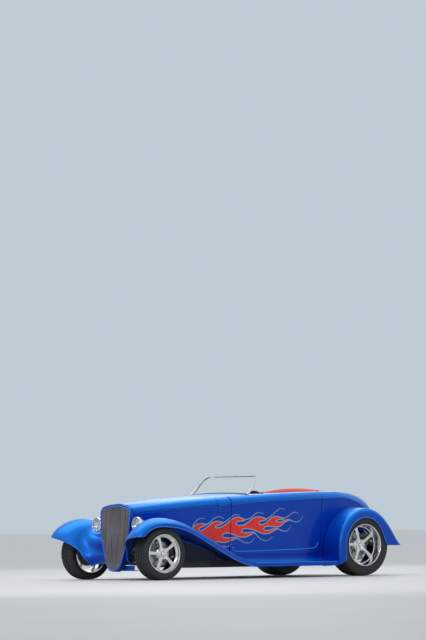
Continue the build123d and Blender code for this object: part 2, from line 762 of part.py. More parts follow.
def build_wheels():
    corners = [
        ("front", front_axle_x, front_wheel_y, front_tyre_r, front_lip_r, front_tyre_width, front_dish, front_disc_r),
        ("rear", rear_axle_x, rear_wheel_y, rear_tyre_r, rear_lip_r, rear_tyre_width, rear_dish, rear_disc_r),
    ]
    for end, x, y, tyre_r, lip_r, width, dish, disc_r in corners:
        place = Pos(x, y, tyre_r)
        tyre = place * tyre_ring(tyre_r, lip_r, width)
        rim = place * rim_solid(lip_r, width, dish, disc_r)
        nodes["tyre_" + end + "_left"] = tyre
        nodes["tyre_" + end + "_right"] = other_side(tyre)
        nodes["rim_" + end + "_left"] = rim
        nodes["rim_" + end + "_right"] = other_side(rim)


build_body()
build_hood()
build_grille()
build_fenders()
build_boards()
build_pan()
build_windshield()
build_cockpit()
build_rolls()
build_lamps()
build_frame()
build_engine()
build_axles()
build_steering()
build_wheels()

for name, part in nodes.items():
    print(name, len(part.solids()), part.is_valid)
    export_step(part, "parts/" + name + ".step")
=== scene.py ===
import math
import bpy
import bmesh
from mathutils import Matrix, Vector


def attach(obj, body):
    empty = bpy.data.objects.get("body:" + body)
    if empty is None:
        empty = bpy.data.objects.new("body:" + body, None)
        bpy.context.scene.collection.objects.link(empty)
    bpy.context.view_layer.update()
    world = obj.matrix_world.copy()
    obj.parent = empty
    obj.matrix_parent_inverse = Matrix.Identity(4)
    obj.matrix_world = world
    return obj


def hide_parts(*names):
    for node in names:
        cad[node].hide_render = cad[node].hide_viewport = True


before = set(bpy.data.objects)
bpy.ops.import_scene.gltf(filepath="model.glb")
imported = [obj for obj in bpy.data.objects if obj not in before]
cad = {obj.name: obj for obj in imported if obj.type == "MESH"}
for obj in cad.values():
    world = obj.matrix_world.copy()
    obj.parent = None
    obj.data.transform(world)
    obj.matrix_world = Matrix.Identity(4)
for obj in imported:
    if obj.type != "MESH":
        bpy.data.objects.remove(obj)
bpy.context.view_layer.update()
bpy.ops.object.select_all(action="DESELECT")
print("packed model loaded")


# small helpers that work as the tools in the viewport do
def pick(*objects):
    bpy.ops.object.select_all(action="DESELECT")
    for piece in objects:
        piece.select_set(True)
    bpy.context.view_layer.objects.active = objects[0]


def named(name):
    piece = bpy.context.active_object
    piece.name = name
    piece.data.name = name
    return piece


def editOn(piece):
    pick(piece)
    bpy.ops.object.mode_set(mode="EDIT")
    bpy.ops.mesh.select_all(action="DESELECT")


def editOff():
    bpy.ops.object.mode_set(mode="OBJECT")


def chooseFaces(piece, test):
    bpy.ops.mesh.select_mode(type="FACE")
    cage = bmesh.from_edit_mesh(piece.data)
    for face in cage.faces:
        face.select_set(bool(test(face)))
    bmesh.update_edit_mesh(piece.data)


def place(piece):
    pick(piece)
    bpy.ops.object.transform_apply(location=True, rotation=True, scale=True)


def modify(piece, kind, **settings):
    pick(piece)
    modifier = piece.modifiers.new(kind.title(), kind)
    for key, value in settings.items():
        setattr(modifier, key, value)
    bpy.ops.object.modifier_apply(modifier=modifier.name)


def tidyNormals(piece):
    editOn(piece)
    bpy.ops.mesh.select_all(action="SELECT")
    bpy.ops.mesh.remove_doubles(threshold=0.00005)
    bpy.ops.mesh.normals_make_consistent(inside=False)
    editOff()


def smooth(piece, degrees=35):
    pick(piece)
    bpy.ops.object.shade_smooth_by_angle(angle=math.radians(degrees))


def copyOf(piece, name):
    pick(piece)
    bpy.ops.object.duplicate()
    return named(name)


def joined(name, *pieces):
    pick(*pieces)
    bpy.ops.object.join()
    return named(name)


def turnAbout(piece, angle, axis, centre):
    pick(piece)
    bpy.ops.transform.rotate(value=angle, orient_axis=axis, center_override=centre)
    place(piece)


def flipAcross(piece):
    pick(piece)
    bpy.ops.transform.resize(value=(1, -1, 1), center_override=(0, 0, 0))
    place(piece)


def mirrored(piece, name):
    other = copyOf(piece, name)
    flipAcross(other)
    tidyNormals(other)
    return other


def turnOver(piece):
    editOn(piece)
    bpy.ops.mesh.select_all(action="SELECT")
    bpy.ops.mesh.flip_normals()
    editOff()


def faceTowards(piece, axis, sign):
    # turns the faces over when most of their area looks the other way
    if sign * sum(poly.normal[axis] * poly.area for poly in piece.data.polygons) < 0:
        turnOver(piece)


def layUpright(piece):
    # a quarter turn about x that ends above the ground plane
    turnAbout(piece, math.radians(-90), "X", (0, 0, 0))
    if max(point.co.z for point in piece.data.vertices) < 0.01:
        turnAbout(piece, math.radians(180), "X", (0, 0, 0))


def putAt(piece, spot, turn=(0, 0, 0)):
    piece.rotation_euler = turn
    piece.location = spot
    place(piece)


def discard(*objects):
    for piece in objects:
        pick(piece)
        bpy.ops.object.delete()


def gridPiece(name, cutsX, cutsY):
    bpy.ops.mesh.primitive_grid_add(x_subdivisions=cutsX, y_subdivisions=cutsY, size=1, location=(0, 0, 0))
    return named(name)


def fit(piece, look, body):
    piece.data.materials.clear()
    piece.data.materials.append(finishes[look])
    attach(piece, body)
    return piece


alongX, alongY = (1, 0, 0), (0, 1, 0)


def spunLine(name, points, steps, axis=alongX, soften=None):
    # a line of points drawn by extruding a single point, then spun round the axis
    bpy.ops.mesh.primitive_plane_add(size=0.01, location=(0, 0, 0))
    piece = named(name)
    place(piece)
    editOn(piece)
    bpy.ops.mesh.select_mode(type="VERT")
    bpy.ops.mesh.select_all(action="SELECT")
    bpy.ops.mesh.merge(type="CENTER")
    last = Vector((0, 0, 0))
    for number, (along, out) in enumerate(points):
        spot = Vector((0, along, out)) if axis[1] else Vector((along, 0, out))
        move = spot - last
        if number:
            bpy.ops.mesh.extrude_region_move(TRANSFORM_OT_translate={"value": move})
        else:
            bpy.ops.transform.translate(value=move)
        last = spot
    bpy.ops.mesh.select_all(action="SELECT")
    bpy.ops.mesh.spin(steps=steps, angle=math.tau, center=(0, 0, 0), axis=axis)
    editOff()
    tidyNormals(piece)
    if soften:
        smooth(piece, soften)
    return piece


# finishes
def nodeTree(name):
    material = bpy.data.materials.new(name)
    material.use_nodes = True
    tree = material.node_tree
    shader = tree.nodes["Principled BSDF"]
    return material, tree, shader


def newGroup(name, inputs, outputs):
    group = bpy.data.node_groups.new(name, "ShaderNodeTree")
    for label, kind, value in inputs:
        socket = group.interface.new_socket(name=label, in_out="INPUT", socket_type=kind)
        socket.default_value = value
    for label, kind in outputs:
        group.interface.new_socket(name=label, in_out="OUTPUT", socket_type=kind)
    return group, group.nodes.new("NodeGroupInput"), group.nodes.new("NodeGroupOutput")


def addNode(tree, kind, **settings):
    node = tree.nodes.new(kind)
    for key, value in settings.items():
        setattr(node, key, value)
    return node


def wire(tree, start, out, end, into):
    tree.links.new(start.outputs[out], end.inputs[into])


def makeSurfaceGroup():
    # colour that drifts a little, a roughness that follows it, and fine bumps
    group, start, end = newGroup("surfaceDrift", [
        ("Colour", "NodeSocketColor", (0.5, 0.5, 0.5, 1)),
        ("Second", "NodeSocketColor", (0.4, 0.4, 0.4, 1)),
        ("Scale", "NodeSocketFloat", 4.0),
        ("Grain", "NodeSocketFloat", 300.0),
        ("Bump", "NodeSocketFloat", 0.1),
        ("Rough", "NodeSocketFloat", 0.4),
        ("Rough Spread", "NodeSocketFloat", 0.1),
    ], [("Colour", "NodeSocketColor"), ("Roughness", "NodeSocketFloat"), ("Normal", "NodeSocketVector")])
    spot = addNode(group, "ShaderNodeTexCoord")
    drift = addNode(group, "ShaderNodeTexNoise")
    drift.inputs["Detail"].default_value = 3
    grain = addNode(group, "ShaderNodeTexNoise")
    grain.inputs["Detail"].default_value = 2
    mix = addNode(group, "ShaderNodeMix", data_type="RGBA")
    spread = addNode(group, "ShaderNodeMath", operation="MULTIPLY_ADD")
    bump = addNode(group, "ShaderNodeBump")
    bump.inputs["Distance"].default_value = 0.001
    wire(group, spot, "Object", drift, "Vector")
    wire(group, spot, "Object", grain, "Vector")
    wire(group, start, "Scale", drift, "Scale")
    wire(group, start, "Grain", grain, "Scale")
    wire(group, drift, "Fac", mix, "Factor")
    wire(group, start, "Colour", mix, "A")
    wire(group, start, "Second", mix, "B")
    wire(group, drift, "Fac", spread, 0)
    wire(group, start, "Rough Spread", spread, 1)
    wire(group, start, "Rough", spread, 2)
    wire(group, grain, "Fac", bump, "Height")
    wire(group, start, "Bump", bump, "Strength")
    wire(group, mix, "Result", end, "Colour")
    wire(group, spread, "Value", end, "Roughness")
    wire(group, bump, "Normal", end, "Normal")
    return group


surfaceGroup = makeSurfaceGroup()


def finish(name, look):
    material, tree, shader = nodeTree(name)
    surface = addNode(tree, "ShaderNodeGroup", node_tree=surfaceGroup)
    surface.inputs["Colour"].default_value = (*look["colour"], 1)
    surface.inputs["Second"].default_value = (*look.get("second", look["colour"]), 1)
    surface.inputs["Scale"].default_value = look.get("scale", 4)
    surface.inputs["Grain"].default_value = look.get("grain", 300)
    surface.inputs["Bump"].default_value = look.get("bump", 0.1)
    surface.inputs["Rough"].default_value = look.get("rough", 0.4)
    surface.inputs["Rough Spread"].default_value = look.get("spread", 0.1)
    wire(tree, surface, "Colour", shader, "Base Color")
    wire(tree, surface, "Roughness", shader, "Roughness")
    wire(tree, surface, "Normal", shader, "Normal")
    for socket, value in look.get("shader", {}).items():
        shader.inputs[socket].default_value = value
    return material


looks = {
    # the second, lighter colours of the two paints are painted highlight, mixed in where surfaces face the
    # sky
    "bluePaint": {"colour": (0.0, 0.062, 0.5), "second": (0.0, 0.052, 0.45), "upper": (0.0, 0.25, 0.85),
                  "scale": 1.5, "grain": 900, "bump": 0.02, "rough": 0.36, "spread": 0.06,
                  "shader": {"Metallic": 0.82, "Coat Weight": 0.25, "Coat Roughness": 0.05}},
    # the bead paint is the body's blue made lighter, a painted highlight along the beads
    "beadPaintedHighlight": {"colour": (0.01, 0.16, 0.8), "second": (0.01, 0.14, 0.75), "upper": (0.08, 0.45, 1.0),
                  "scale": 1.5, "grain": 900, "bump": 0.02, "rough": 0.3, "spread": 0.05,
                  "shader": {"Metallic": 0.6, "Coat Weight": 0.6, "Coat Roughness": 0.04}},
    "carpet": {"colour": (0.02, 0.02, 0.023), "second": (0.045, 0.045, 0.05), "scale": 60, "grain": 700,
               "bump": 0.9, "rough": 0.95, "spread": 0.04, "shader": {"Metallic": 0.0}},
    "dialFace": {"colour": (0.75, 0.73, 0.68), "second": (0.7, 0.68, 0.63), "scale": 8, "grain": 500,
                 "bump": 0.02, "rough": 0.5, "spread": 0.05, "shader": {"Metallic": 0.0}},
    "flameRed": {"colour": (0.88, 0.01, 0.006), "second": (0.82, 0.009, 0.006), "scale": 3, "grain": 900,
                 "bump": 0.02, "rough": 0.25, "spread": 0.05,
                 "shader": {"Coat Weight": 0.25, "Coat Roughness": 0.03}},
    "stripeSilver": {"colour": (0.36, 0.4, 0.46), "second": (0.3, 0.36, 0.38), "scale": 6, "grain": 900,
                     "bump": 0.02, "rough": 0.3, "spread": 0.05,
                     "shader": {"Coat Weight": 1.0, "Coat Roughness": 0.03}},
    "chrome": {"colour": (0.86, 0.87, 0.88), "second": (0.8, 0.81, 0.83), "rough": 0.05, "spread": 0.05,
               "bump": 0.01, "shader": {"Metallic": 1.0}},
    "polishedRim": {"colour": (0.84, 0.84, 0.83), "second": (0.74, 0.74, 0.74), "rough": 0.1, "spread": 0.08,
                    "bump": 0.03, "grain": 500, "shader": {"Metallic": 1.0}},
    "tyreRubber": {"colour": (0.016, 0.016, 0.017), "second": (0.03, 0.029, 0.028), "rough": 0.6,
                   "spread": 0.2,
                   "bump": 0.3, "grain": 700, "scale": 7},
    "redLeather": {"colour": (0.8, 0.06, 0.025), "second": (0.68, 0.045, 0.02), "rough": 0.42, "spread": 0.16,
                   "bump": 0.5, "grain": 420, "scale": 6},
    "chassisBlack": {"colour": (0.018, 0.02, 0.03), "second": (0.03, 0.032, 0.04), "rough": 0.32,
                     "spread": 0.2,
                     "bump": 0.1, "grain": 400},
    "steel": {"colour": (0.42, 0.43, 0.44), "second": (0.3, 0.31, 0.33), "rough": 0.3, "spread": 0.2,
              "bump": 0.1, "grain": 300, "shader": {"Metallic": 1.0}},
    "castMetal": {"colour": (0.2, 0.2, 0.21), "second": (0.13, 0.13, 0.14), "rough": 0.5, "spread": 0.2,
                  "bump": 0.6, "grain": 260, "shader": {"Metallic": 0.8}},
    "grilleMetal": {"colour": (0.3, 0.29, 0.3), "second": (0.14, 0.12, 0.11), "rough": 0.28, "spread": 0.15,
                    "bump": 0.05, "shader": {"Metallic": 1.0}},
    "redLens": {"colour": (0.55, 0.01, 0.01), "second": (0.4, 0.008, 0.008), "rough": 0.1, "spread": 0.05,
                "bump": 0.02, "shader": {"Coat Weight": 1.0, "Transmission Weight": 0.3}},
    "blackTrim": {"colour": (0.02, 0.02, 0.021), "second": (0.035, 0.035, 0.035), "rough": 0.5, "spread": 0.2,
                  "bump": 0.2, "grain": 500},
}


def makePaintedSkyLight():
    # mixes in a lighter second colour where the surface faces the sky: painted highlight for the sky's
    # reflection
    group, ends, outs = newGroup("paintedSkyLight", [("Colour", "NodeSocketColor", (0, 0, 0, 1)),
                                 ("Upper", "NodeSocketColor", (0, 0, 0, 1))], [("Colour", "NodeSocketColor")])
    spot = addNode(group, "ShaderNodeTexCoord")
    parts = addNode(group, "ShaderNodeSeparateXYZ")
    share = addNode(group, "ShaderNodeMapRange", interpolation_type="SMOOTHSTEP")
    share.inputs["From Min"].default_value = -0.15
    share.inputs["From Max"].default_value = 0.95
    mix = addNode(group, "ShaderNodeMix", data_type="RGBA")
    wire(group, spot, "Normal", parts, "Vector")
    wire(group, parts, "Z", share, "Value")
    wire(group, share, "Result", mix, "Factor")
    wire(group, ends, "Colour", mix, "A")
    wire(group, ends, "Upper", mix, "B")
    wire(group, mix, "Result", outs, "Colour")
    return group


paintedSkyLight = makePaintedSkyLight()


# body paint with a painted highlight: a lighter colour where the surface faces up
def skyLitPaintFinish(name, look):
    material = finish(name, look)
    tree = material.node_tree
    shader = tree.nodes["Principled BSDF"]
    paint = shader.inputs["Base Color"].links[0].from_socket
    paintedLightNode = addNode(tree, "ShaderNodeGroup", node_tree=paintedSkyLight)
    paintedLightNode.inputs["Upper"].default_value = (*look["upper"], 1)
    tree.links.new(paint, paintedLightNode.inputs["Colour"])
    wire(tree, paintedLightNode, "Colour", shader, "Base Color")
    return material


finishes = {name: (skyLitPaintFinish if "upper" in look else finish)(name, look) for name, look in looks.items()}


# painted shade under the front fender: the body paint turns to this dark colour below a sloping line
underFenderShade = {"slope": 0.377, "level": 0.05, "colour": (0.003, 0.009, 0.035, 1)}
glassLooks = {
    "windowGlass": {"colour": (0.97, 0.99, 0.99, 1), "rough": 0.0},
    "lampGlass": {"colour": (0.95, 0.97, 1.0, 1), "rough": 0.02},
}


def underFenderShadeFinish(name, look):
    # body paint that turns dark below a sloping line: painted shade where the front fender shades the body
    material = skyLitPaintFinish(name, look)
    tree = material.node_tree
    shader = tree.nodes["Principled BSDF"]
    paint = shader.inputs["Base Color"].links[0].from_socket
    spot = addNode(tree, "ShaderNodeTexCoord")
    parts = addNode(tree, "ShaderNodeSeparateXYZ")
    line = addNode(tree, "ShaderNodeMath", operation="MULTIPLY_ADD")
    line.inputs[1].default_value = underFenderShade["slope"]
    line.inputs[2].default_value = underFenderShade["level"]
    below = addNode(tree, "ShaderNodeMath", operation="LESS_THAN")
    mix = addNode(tree, "ShaderNodeMix", data_type="RGBA")
    mix.inputs["B"].default_value = underFenderShade["colour"]
    wire(tree, spot, "Object", parts, "Vector")
    wire(tree, parts, "X", line, 0)
    wire(tree, parts, "Z", below, 0)
    wire(tree, line, "Value", below, 1)
    wire(tree, below, "Value", mix, "Factor")
    tree.links.new(paint, mix.inputs["A"])
    wire(tree, mix, "Result", shader, "Base Color")
    return material


def glassFinish(name, look):
    material, tree, shader = nodeTree(name)
    spot = addNode(tree, "ShaderNodeTexCoord")
    smear = addNode(tree, "ShaderNodeTexNoise")
    smear.inputs["Scale"].default_value = 5
    ramp = addNode(tree, "ShaderNodeMapRange")
    ramp.inputs["To Min"].default_value = look["rough"]
    ramp.inputs["To Max"].default_value = look["rough"] + 0.03
    wire(tree, spot, "Object", smear, "Vector")
    wire(tree, smear, "Fac", ramp, "Value")
    wire(tree, ramp, "Result", shader, "Roughness")
    shader.inputs["Base Color"].default_value = look["colour"]
    shader.inputs["Transmission Weight"].default_value = 1
    shader.inputs["IOR"].default_value = 1.45
    return material


finishes["underFenderShadePaint"] = underFenderShadeFinish("underFenderShadePaint", looks["bluePaint"])
for glass, look in glassLooks.items():
    finishes[glass] = glassFinish(glass, look)

nodeFinish = {
    # panels that carry the painted shade below the front fender
    "underFenderShadePaint": ["cowl", "front_aprons", "sills"],
    "bluePaint": ["door_left", "door_right", "rear_body", "deck_lid", "hood_top", "hood_sides",
                  "grille_shell", "front_fender_left", "front_fender_right", "rear_fender_left",
                  "rear_fender_right", "running_boards", "front_pan"],
    "chrome": ["windshield_frame", "headlamps", "steering_column"],
    "windowGlass": ["windshield_glass"],
    "grilleMetal": ["grille_bars"],
    "chassisBlack": ["frame_rails", "floor_pan", "boot_floor", "rear_springs", "driveshaft", "fuel_tank"],
    "redLeather": ["dashboard", "seat_cushion", "seat_back", "door_roll_left", "door_roll_right",
                   "rear_shelf"],
    "castMetal": ["engine", "gearbox", "rear_axle"],
    "steel": ["front_suspension", "knuckle_left", "knuckle_right", "exhaust_pipes", "rear_links",
              "steering_rack"],
    "redLens": ["tail_lamps"],
    "blackTrim": ["steering_wheel"],
    "tyreRubber": ["tyre_front_left", "tyre_front_right", "tyre_rear_left", "tyre_rear_right"],
    "polishedRim": ["rim_front_left", "rim_front_right", "rim_rear_left", "rim_rear_right"],
}
for name, nodes in nodeFinish.items():
    for node in nodes:
        mesh = cad[node].data
        mesh.materials.clear()
        mesh.materials.append(finishes[name])
print("finishes ready")


# wheels
wheelSizes = {
    "front": {"x": 1.53, "y": 0.686, "radius": 0.293, "lip": 0.218, "wide": 0.2, "dish": 0.042, "disc": 0.14,
              "caliperTurn": -60},
    "rear": {"x": -1.315, "y": 0.7285, "radius": 0.354, "lip": 0.243, "wide": 0.257, "dish": 0.095,
             "disc": 0.15,
             "caliperTurn": 60},
    "spokes": 5, "firstSpoke": 105, "nutRing": 0.057, "nutSize": 0.0105, "treadBlocks": 90,
    "rimInside": 0.006,
}
# shares of half the tyre's width and of its height above the rim's lip
tyreShape = {
    "side": [(0.80, 0.0), (0.86, 0.05), (0.93, 0.16), (0.985, 0.32), (1.0, 0.48), (0.992, 0.62),
             (0.985, 0.66),
             (0.985, 0.69), (0.965, 0.76), (0.93, 0.84), (0.9, 0.89), (0.84, 0.945), (0.78, 0.968)],
    "outerRib": [(0.74, 0.975), (0.45, 0.995)], "innerRib": [(0.38, 0.975), (0.06, 0.995)],
    "groove": 0.008, "blockEdge": 0.0012, "blockDepth": -0.004,
}


def makeTyre(name, size):
    half, outer, lip = size["wide"] / 2, size["radius"], size["lip"]
    rise, groove = outer - lip, tyreShape["groove"]
    line = [(half * a, lip + rise * r) for a, r in tyreShape["side"] + tyreShape["outerRib"]]
    a, r = tyreShape["outerRib"][-1]
    line += [(half * (a - inward), lip + rise * r - groove) for inward in (0.005, 0.065)]
    line += [(half * a, lip + rise * r) for a, r in tyreShape["innerRib"]]
    line.append((half * 0.055, lip + rise - groove))
    other = [(-a, r) for a, r in reversed(line)]
    inside = [(-half * 0.8, lip - 0.006), (0, lip - 0.003), (half * 0.8, lip - 0.006)]
    tyre = spunLine(name, line + other + inside + line[:1], wheelSizes["treadBlocks"], alongY)
    step = math.tau / wheelSizes["treadBlocks"]

    def tread(face):
        # every second block, with the two halves of the tread out of step
        spot = face.calc_center_median()
        block = int(round(math.atan2(spot.z, spot.x) / step - 0.5)) + (1 if spot.y > 0 else 0)
        flat = abs(face.normal.y) < 0.4 and math.hypot(spot.x, spot.z) > outer - 0.006
        return flat and block % 2 == 0 and abs(spot.y) > half * 0.12
    editOn(tyre)
    chooseFaces(tyre, tread)
    bpy.ops.mesh.inset(thickness=tyreShape["blockEdge"], depth=tyreShape["blockDepth"], use_individual=True)
    editOff()
    smooth(tyre, 30)
    return tyre


def makeSpoke(name, size, face):
    # cross sections from the hub to the rim: distance out, half width, front, back
    reach = size["lip"] - 0.018
    sections = [(0.03, 0.03, 0.004, -0.03), (0.055, 0.0235, 0.012, -0.026), (0.085, 0.0165, 0.017, -0.014),
                (0.12, 0.0165, 0.018, -0.008), (reach - 0.04, 0.02, 0.014, -0.01),
                (reach - 0.014, 0.028, 0.008, -0.014), (reach, 0.036, 0.002, -0.018)]
    bpy.ops.mesh.primitive_cube_add(size=1, location=(0, 0, 0))
    spoke = named(name)
    here = sections[0]
    foot = 0.002
    spoke.scale = (2 * here[1], here[2] - here[3], 2 * foot)
    spoke.location = (0, face + (here[2] + here[3]) / 2, here[0])
    place(spoke)
    editOn(spoke)
    for there in sections[1:]:
        chooseFaces(spoke, lambda f: f.normal.z > 0.8 and f.calc_center_median().z > here[0] - 0.001)
        middle = ((there[2] + there[3]) - (here[2] + here[3])) / 2
        rise = there[0] - here[0] - (foot if here == sections[0] else 0)
        bpy.ops.mesh.extrude_region_move(TRANSFORM_OT_translate={"value": (0, middle, rise)})
        grow = (there[1] / here[1], (there[2] - there[3]) / (here[2] - here[3]), 1)
        centre = (0, face + (there[2] + there[3]) / 2, there[0])
        bpy.ops.transform.resize(value=grow, center_override=centre)
        here = there
    bpy.ops.mesh.select_all(action="DESELECT")
    editOff()
    modify(spoke, "BEVEL", width=0.005, segments=2, limit_method="ANGLE", angle_limit=math.radians(40))
    modify(spoke, "SUBSURF", levels=2, render_levels=2)
    smooth(spoke, 40)
    return spoke


def makeNut(name, angle, face):
    ring = wheelSizes["nutRing"]
    spot = (-ring * math.cos(angle), face + 0.0045, ring * math.sin(angle))
    bpy.ops.mesh.primitive_cylinder_add(vertices=6, radius=wheelSizes["nutSize"], depth=0.02, location=spot,
                                        rotation=(math.radians(90), 0, 0))
    nut = named(name)
    place(nut)
    editOn(nut)
    chooseFaces(nut, lambda f: f.normal.y > 0.8)
    bpy.ops.mesh.inset(thickness=0.0022, depth=0.004)
    editOff()
    modify(nut, "BEVEL", width=0.0008, segments=2)
    return nut


def makeRim(name, size):
    half = size["wide"] / 2 - wheelSizes["rimInside"]
    lip = size["lip"]
    face = half - size["dish"]
    barrel = lip - 0.022
    pitch = 360 / wheelSizes["spokes"]
    line = [(half - 0.004, lip), (half, lip - 0.003), (half + 0.0005, lip - 0.008),
            (half - 0.004, lip - 0.012),
            (half - 0.02, lip - 0.015), (half - size["dish"] * 0.55, barrel - 0.002), 
            (face + 0.012, barrel - 0.006), (face + 0.006, barrel - 0.014), (face - 0.006, barrel - 0.016),
            (face - 0.016, barrel - 0.008),
            (-half * 0.5, barrel - 0.006), (-half + 0.02, lip - 0.016), (-half, lip - 0.012),
            (-half, lip - 0.002),
            (-half + 0.008, lip), (-half + 0.016, lip - 0.004), (-half * 0.5, barrel + 0.004),
            (face - 0.01, barrel + 0.004), (half - 0.03, lip - 0.006), (half - 0.014, lip - 0.002),
            (half - 0.004, lip)]
    parts = [spunLine(name + "Ring", line, 96, alongY, 40)]
    spoke = makeSpoke(name + "Spoke", size, face - 0.012)
    for index in range(wheelSizes["spokes"]):
        # seen from the left the first spoke leans a little forward of upright
        piece = copyOf(spoke, name + "Spoke" + str(index))
        turnAbout(piece, math.radians(90 - wheelSizes["firstSpoke"] + index * pitch), "Y", (0, 0, 0))
        parts.append(piece)
    discard(spoke)
    hubLine = [(face + 0.004, 0.004), (face + 0.004, 0.03), (face + 0.001, 0.037), (face - 0.004, 0.045),
               (face - 0.004, 0.066), (face - 0.012, 0.074), (face - 0.04, 0.076), (face - 0.042, 0.02),
               (face - 0.03, 0.004)]
    capLine = [(face + 0.034, 0.0004), (face + 0.034, 0.008), (face + 0.0325, 0.016), (face + 0.029, 0.0225),
               (face + 0.022, 0.0265), (face + 0.012, 0.0285), (face + 0.004, 0.0295), (face + 0.002, 0.0295)]
    parts.append(spunLine(name + "Hub", hubLine + hubLine[:1], 60, alongY, 40))
    parts.append(spunLine(name + "Cap", capLine, 48, alongY, 40))
    between = wheelSizes["firstSpoke"] + pitch / 2
    for index in range(wheelSizes["spokes"]):
        parts.append(makeNut(name + "Nut" + str(index), math.radians(between + index * pitch), face))
    angle, stem = math.radians(between), barrel - 0.004
    bpy.ops.mesh.primitive_cylinder_add(vertices=16, radius=0.0042, depth=0.03,
                                        location=(-stem * math.cos(angle), face + 0.022,
                                                  stem * math.sin(angle)),
                                        rotation=(math.radians(84), 0, 0))
    valve = named(name + "Valve")
    place(valve)
    return joined(name, *parts, valve)


def makeDisc(name, size):
    # also returns how far out its front stands
    front = size["wide"] / 2 - wheelSizes["rimInside"] - size["dish"] - 0.062
    outer = size["disc"]
    line = [(front + 0.02, 0.03), (front + 0.02, 0.06), (front + 0.016, 0.066), (front, 0.078),
            (front, outer - 0.002), (front - 0.002, outer), (front - 0.006, outer),
            (front - 0.0065, outer - 0.006), (front - 0.0135, outer - 0.006), (front - 0.014, outer),
            (front - 0.02, outer), (front - 0.022, outer - 0.002), (front - 0.022, 0.03)]
    return spunLine(name, line + line[:1], 72, alongY, 30), front


def makeCaliper(name, size, front):
    outer = size["disc"]
    bpy.ops.mesh.primitive_cube_add(size=1, location=(0, front - 0.011, outer - 0.012))
    caliper = named(name)
    caliper.scale = (0.15, 0.066, 0.07)
    place(caliper)
    editOn(caliper)
    bpy.ops.mesh.select_all(action="SELECT")
    bpy.ops.mesh.subdivide(number_cuts=3)
    editOff()
    for point in caliper.data.vertices:
        # the block follows the disc's edge
        point.co.z += math.sqrt(max(outer * outer - point.co.x * point.co.x, 0)) - outer
    editOn(caliper)
    chooseFaces(caliper, lambda f: f.normal.y > 0.8 and abs(f.calc_center_median().x) < 0.06)
    bpy.ops.mesh.inset(thickness=0.008, depth=-0.004)
    editOff()
    modify(caliper, "BEVEL", width=0.003, segments=2, limit_method="ANGLE", angle_limit=math.radians(35))
    smooth(caliper, 35)
    return caliper


def makeWheels():
    for end in ("front", "rear"):
        size = wheelSizes[end]
        tyre = makeTyre("tyreMaster", size)
        rim = makeRim("rimMaster", size)
        disc, front = makeDisc("discMaster", size)
        caliper = makeCaliper("caliperMaster", size, front)
        turnAbout(caliper, math.radians(size["caliperTurn"]), "Y", (0, 0, 0))
        for side, sign in (("left", 1), ("right", -1)):
            wheel = "wheel_" + end + "_" + side
            holder = "knuckle_" + side if end == "front" else "body"
            for master, label, look, body in (
                (tyre, "tyre", "tyreRubber", wheel),
                (rim, "rim", "polishedRim", wheel),
                (disc, "disc", "steel", wheel),
                (caliper, "caliper", "castMetal", holder),
            ):
                piece = copyOf(master, label + end.title() + side.title())
                if sign < 0:
                    flipAcross(piece)
                    turnOver(piece)
                putAt(piece, (size["x"], sign * size["y"], size["radius"]))
                fit(piece, look, body)
                if label in ("tyre", "rim"):
                    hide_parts(label + "_" + end + "_" + side)
        discard(tyre, rim, disc, caliper)


makeWheels()
print("wheels ready")


# lines and paint that follow the body's surface

def hitFrom(node, start, towards):
    # where a straight line from start first meets a node, and the direction the surface faces there
    piece = cad[node]
    back = piece.matrix_world.inverted()
    begin = back @ Vector(start)
    ahead = (back.to_3x3() @ Vector(towards)).normalized()
    found, spot, normal, index = piece.ray_cast(begin, ahead)
    if not found:
        return None
    return piece.matrix_world @ spot, (piece.matrix_world.to_3x3() @ normal).normalized()


def sideHit(nodes, x, z):
    # the outermost point of these nodes on the left side
    hits = [hit for hit in (hitFrom(node, (x, 1.6, z), (0, -1, 0)) for node in nodes) if hit]
    return max(hits, key=lambda hit: hit[0].y) if hits else None


def smoothLine(points, steps, closed=False):
    # a line through the points without corners
    count = len(points)
    out = []
    spans = count if closed else count - 1
    for index in range(spans):
        if closed:
            p0, p1, p2, p3 = (points[(index + shift) % count] for shift in (-1, 0, 1, 2))
        else:
            p0, p1, p2, p3 = (points[min(max(index + shift, 0), count - 1)] for shift in (-1, 0, 1, 2))
        for step in range(steps):
            t = step / steps
            near = zip(p0, p1, p2, p3)
            out.append(tuple(0.5 * (2 * b + (c - a) * t + (2 * a - 5 * b + 4 * c - d) * t * t
                                    + (3 * b - a - 3 * c + d) * t ** 3) for a, b, c, d in near))
    if not closed:
        out.append(tuple(points[-1]))
    return out


def curveMesh(name, lines, closed, depth=0.0, resolution=2, fill=False, taper=None):
    data = bpy.data.curves.new(name, "CURVE")
    data.dimensions = "2D" if fill else "3D"
    data.fill_mode = "BOTH" if fill else "FULL"
    data.bevel_depth = depth
    data.bevel_resolution = resolution
    data.use_fill_caps = not closed
    for line in lines:
        spline = data.splines.new("POLY")
        spline.points.add(len(line) - 1)
        spline.use_cyclic_u = closed
        for index, spot in enumerate(line):
            spline.points[index].co = (*spot, 1) if len(spot) == 3 else (*spot, 0, 1)
            if taper:
                share = index / (len(line) - 1)
                spline.points[index].radius = taper[0] + (taper[1] - taper[0]) * share
    piece = bpy.data.objects.new(name, data)
    bpy.context.scene.collection.objects.link(piece)
    pick(piece)
    bpy.ops.object.convert(target="MESH")
    return named(name)


def bead(name, points, radius, look, body, closed=False):
    piece = curveMesh(name, [points], closed, radius, 3)
    smooth(piece, 60)
    return fit(piece, look, body)


def bothSides(piece, look, body):
    # the same piece on the right, named and carried after it
    other = mirrored(piece, piece.name.replace("Left", "Right"))
    return fit(other, look, body.replace("left", "right"))


def onSide(node, path, sunk):
    # a path in x and z, a little sunk into the side of this node
    hits = [sideHit([node], x, z) for x, z in path]
    return [tuple(hit[0] - hit[1] * sunk) for hit in hits if hit]


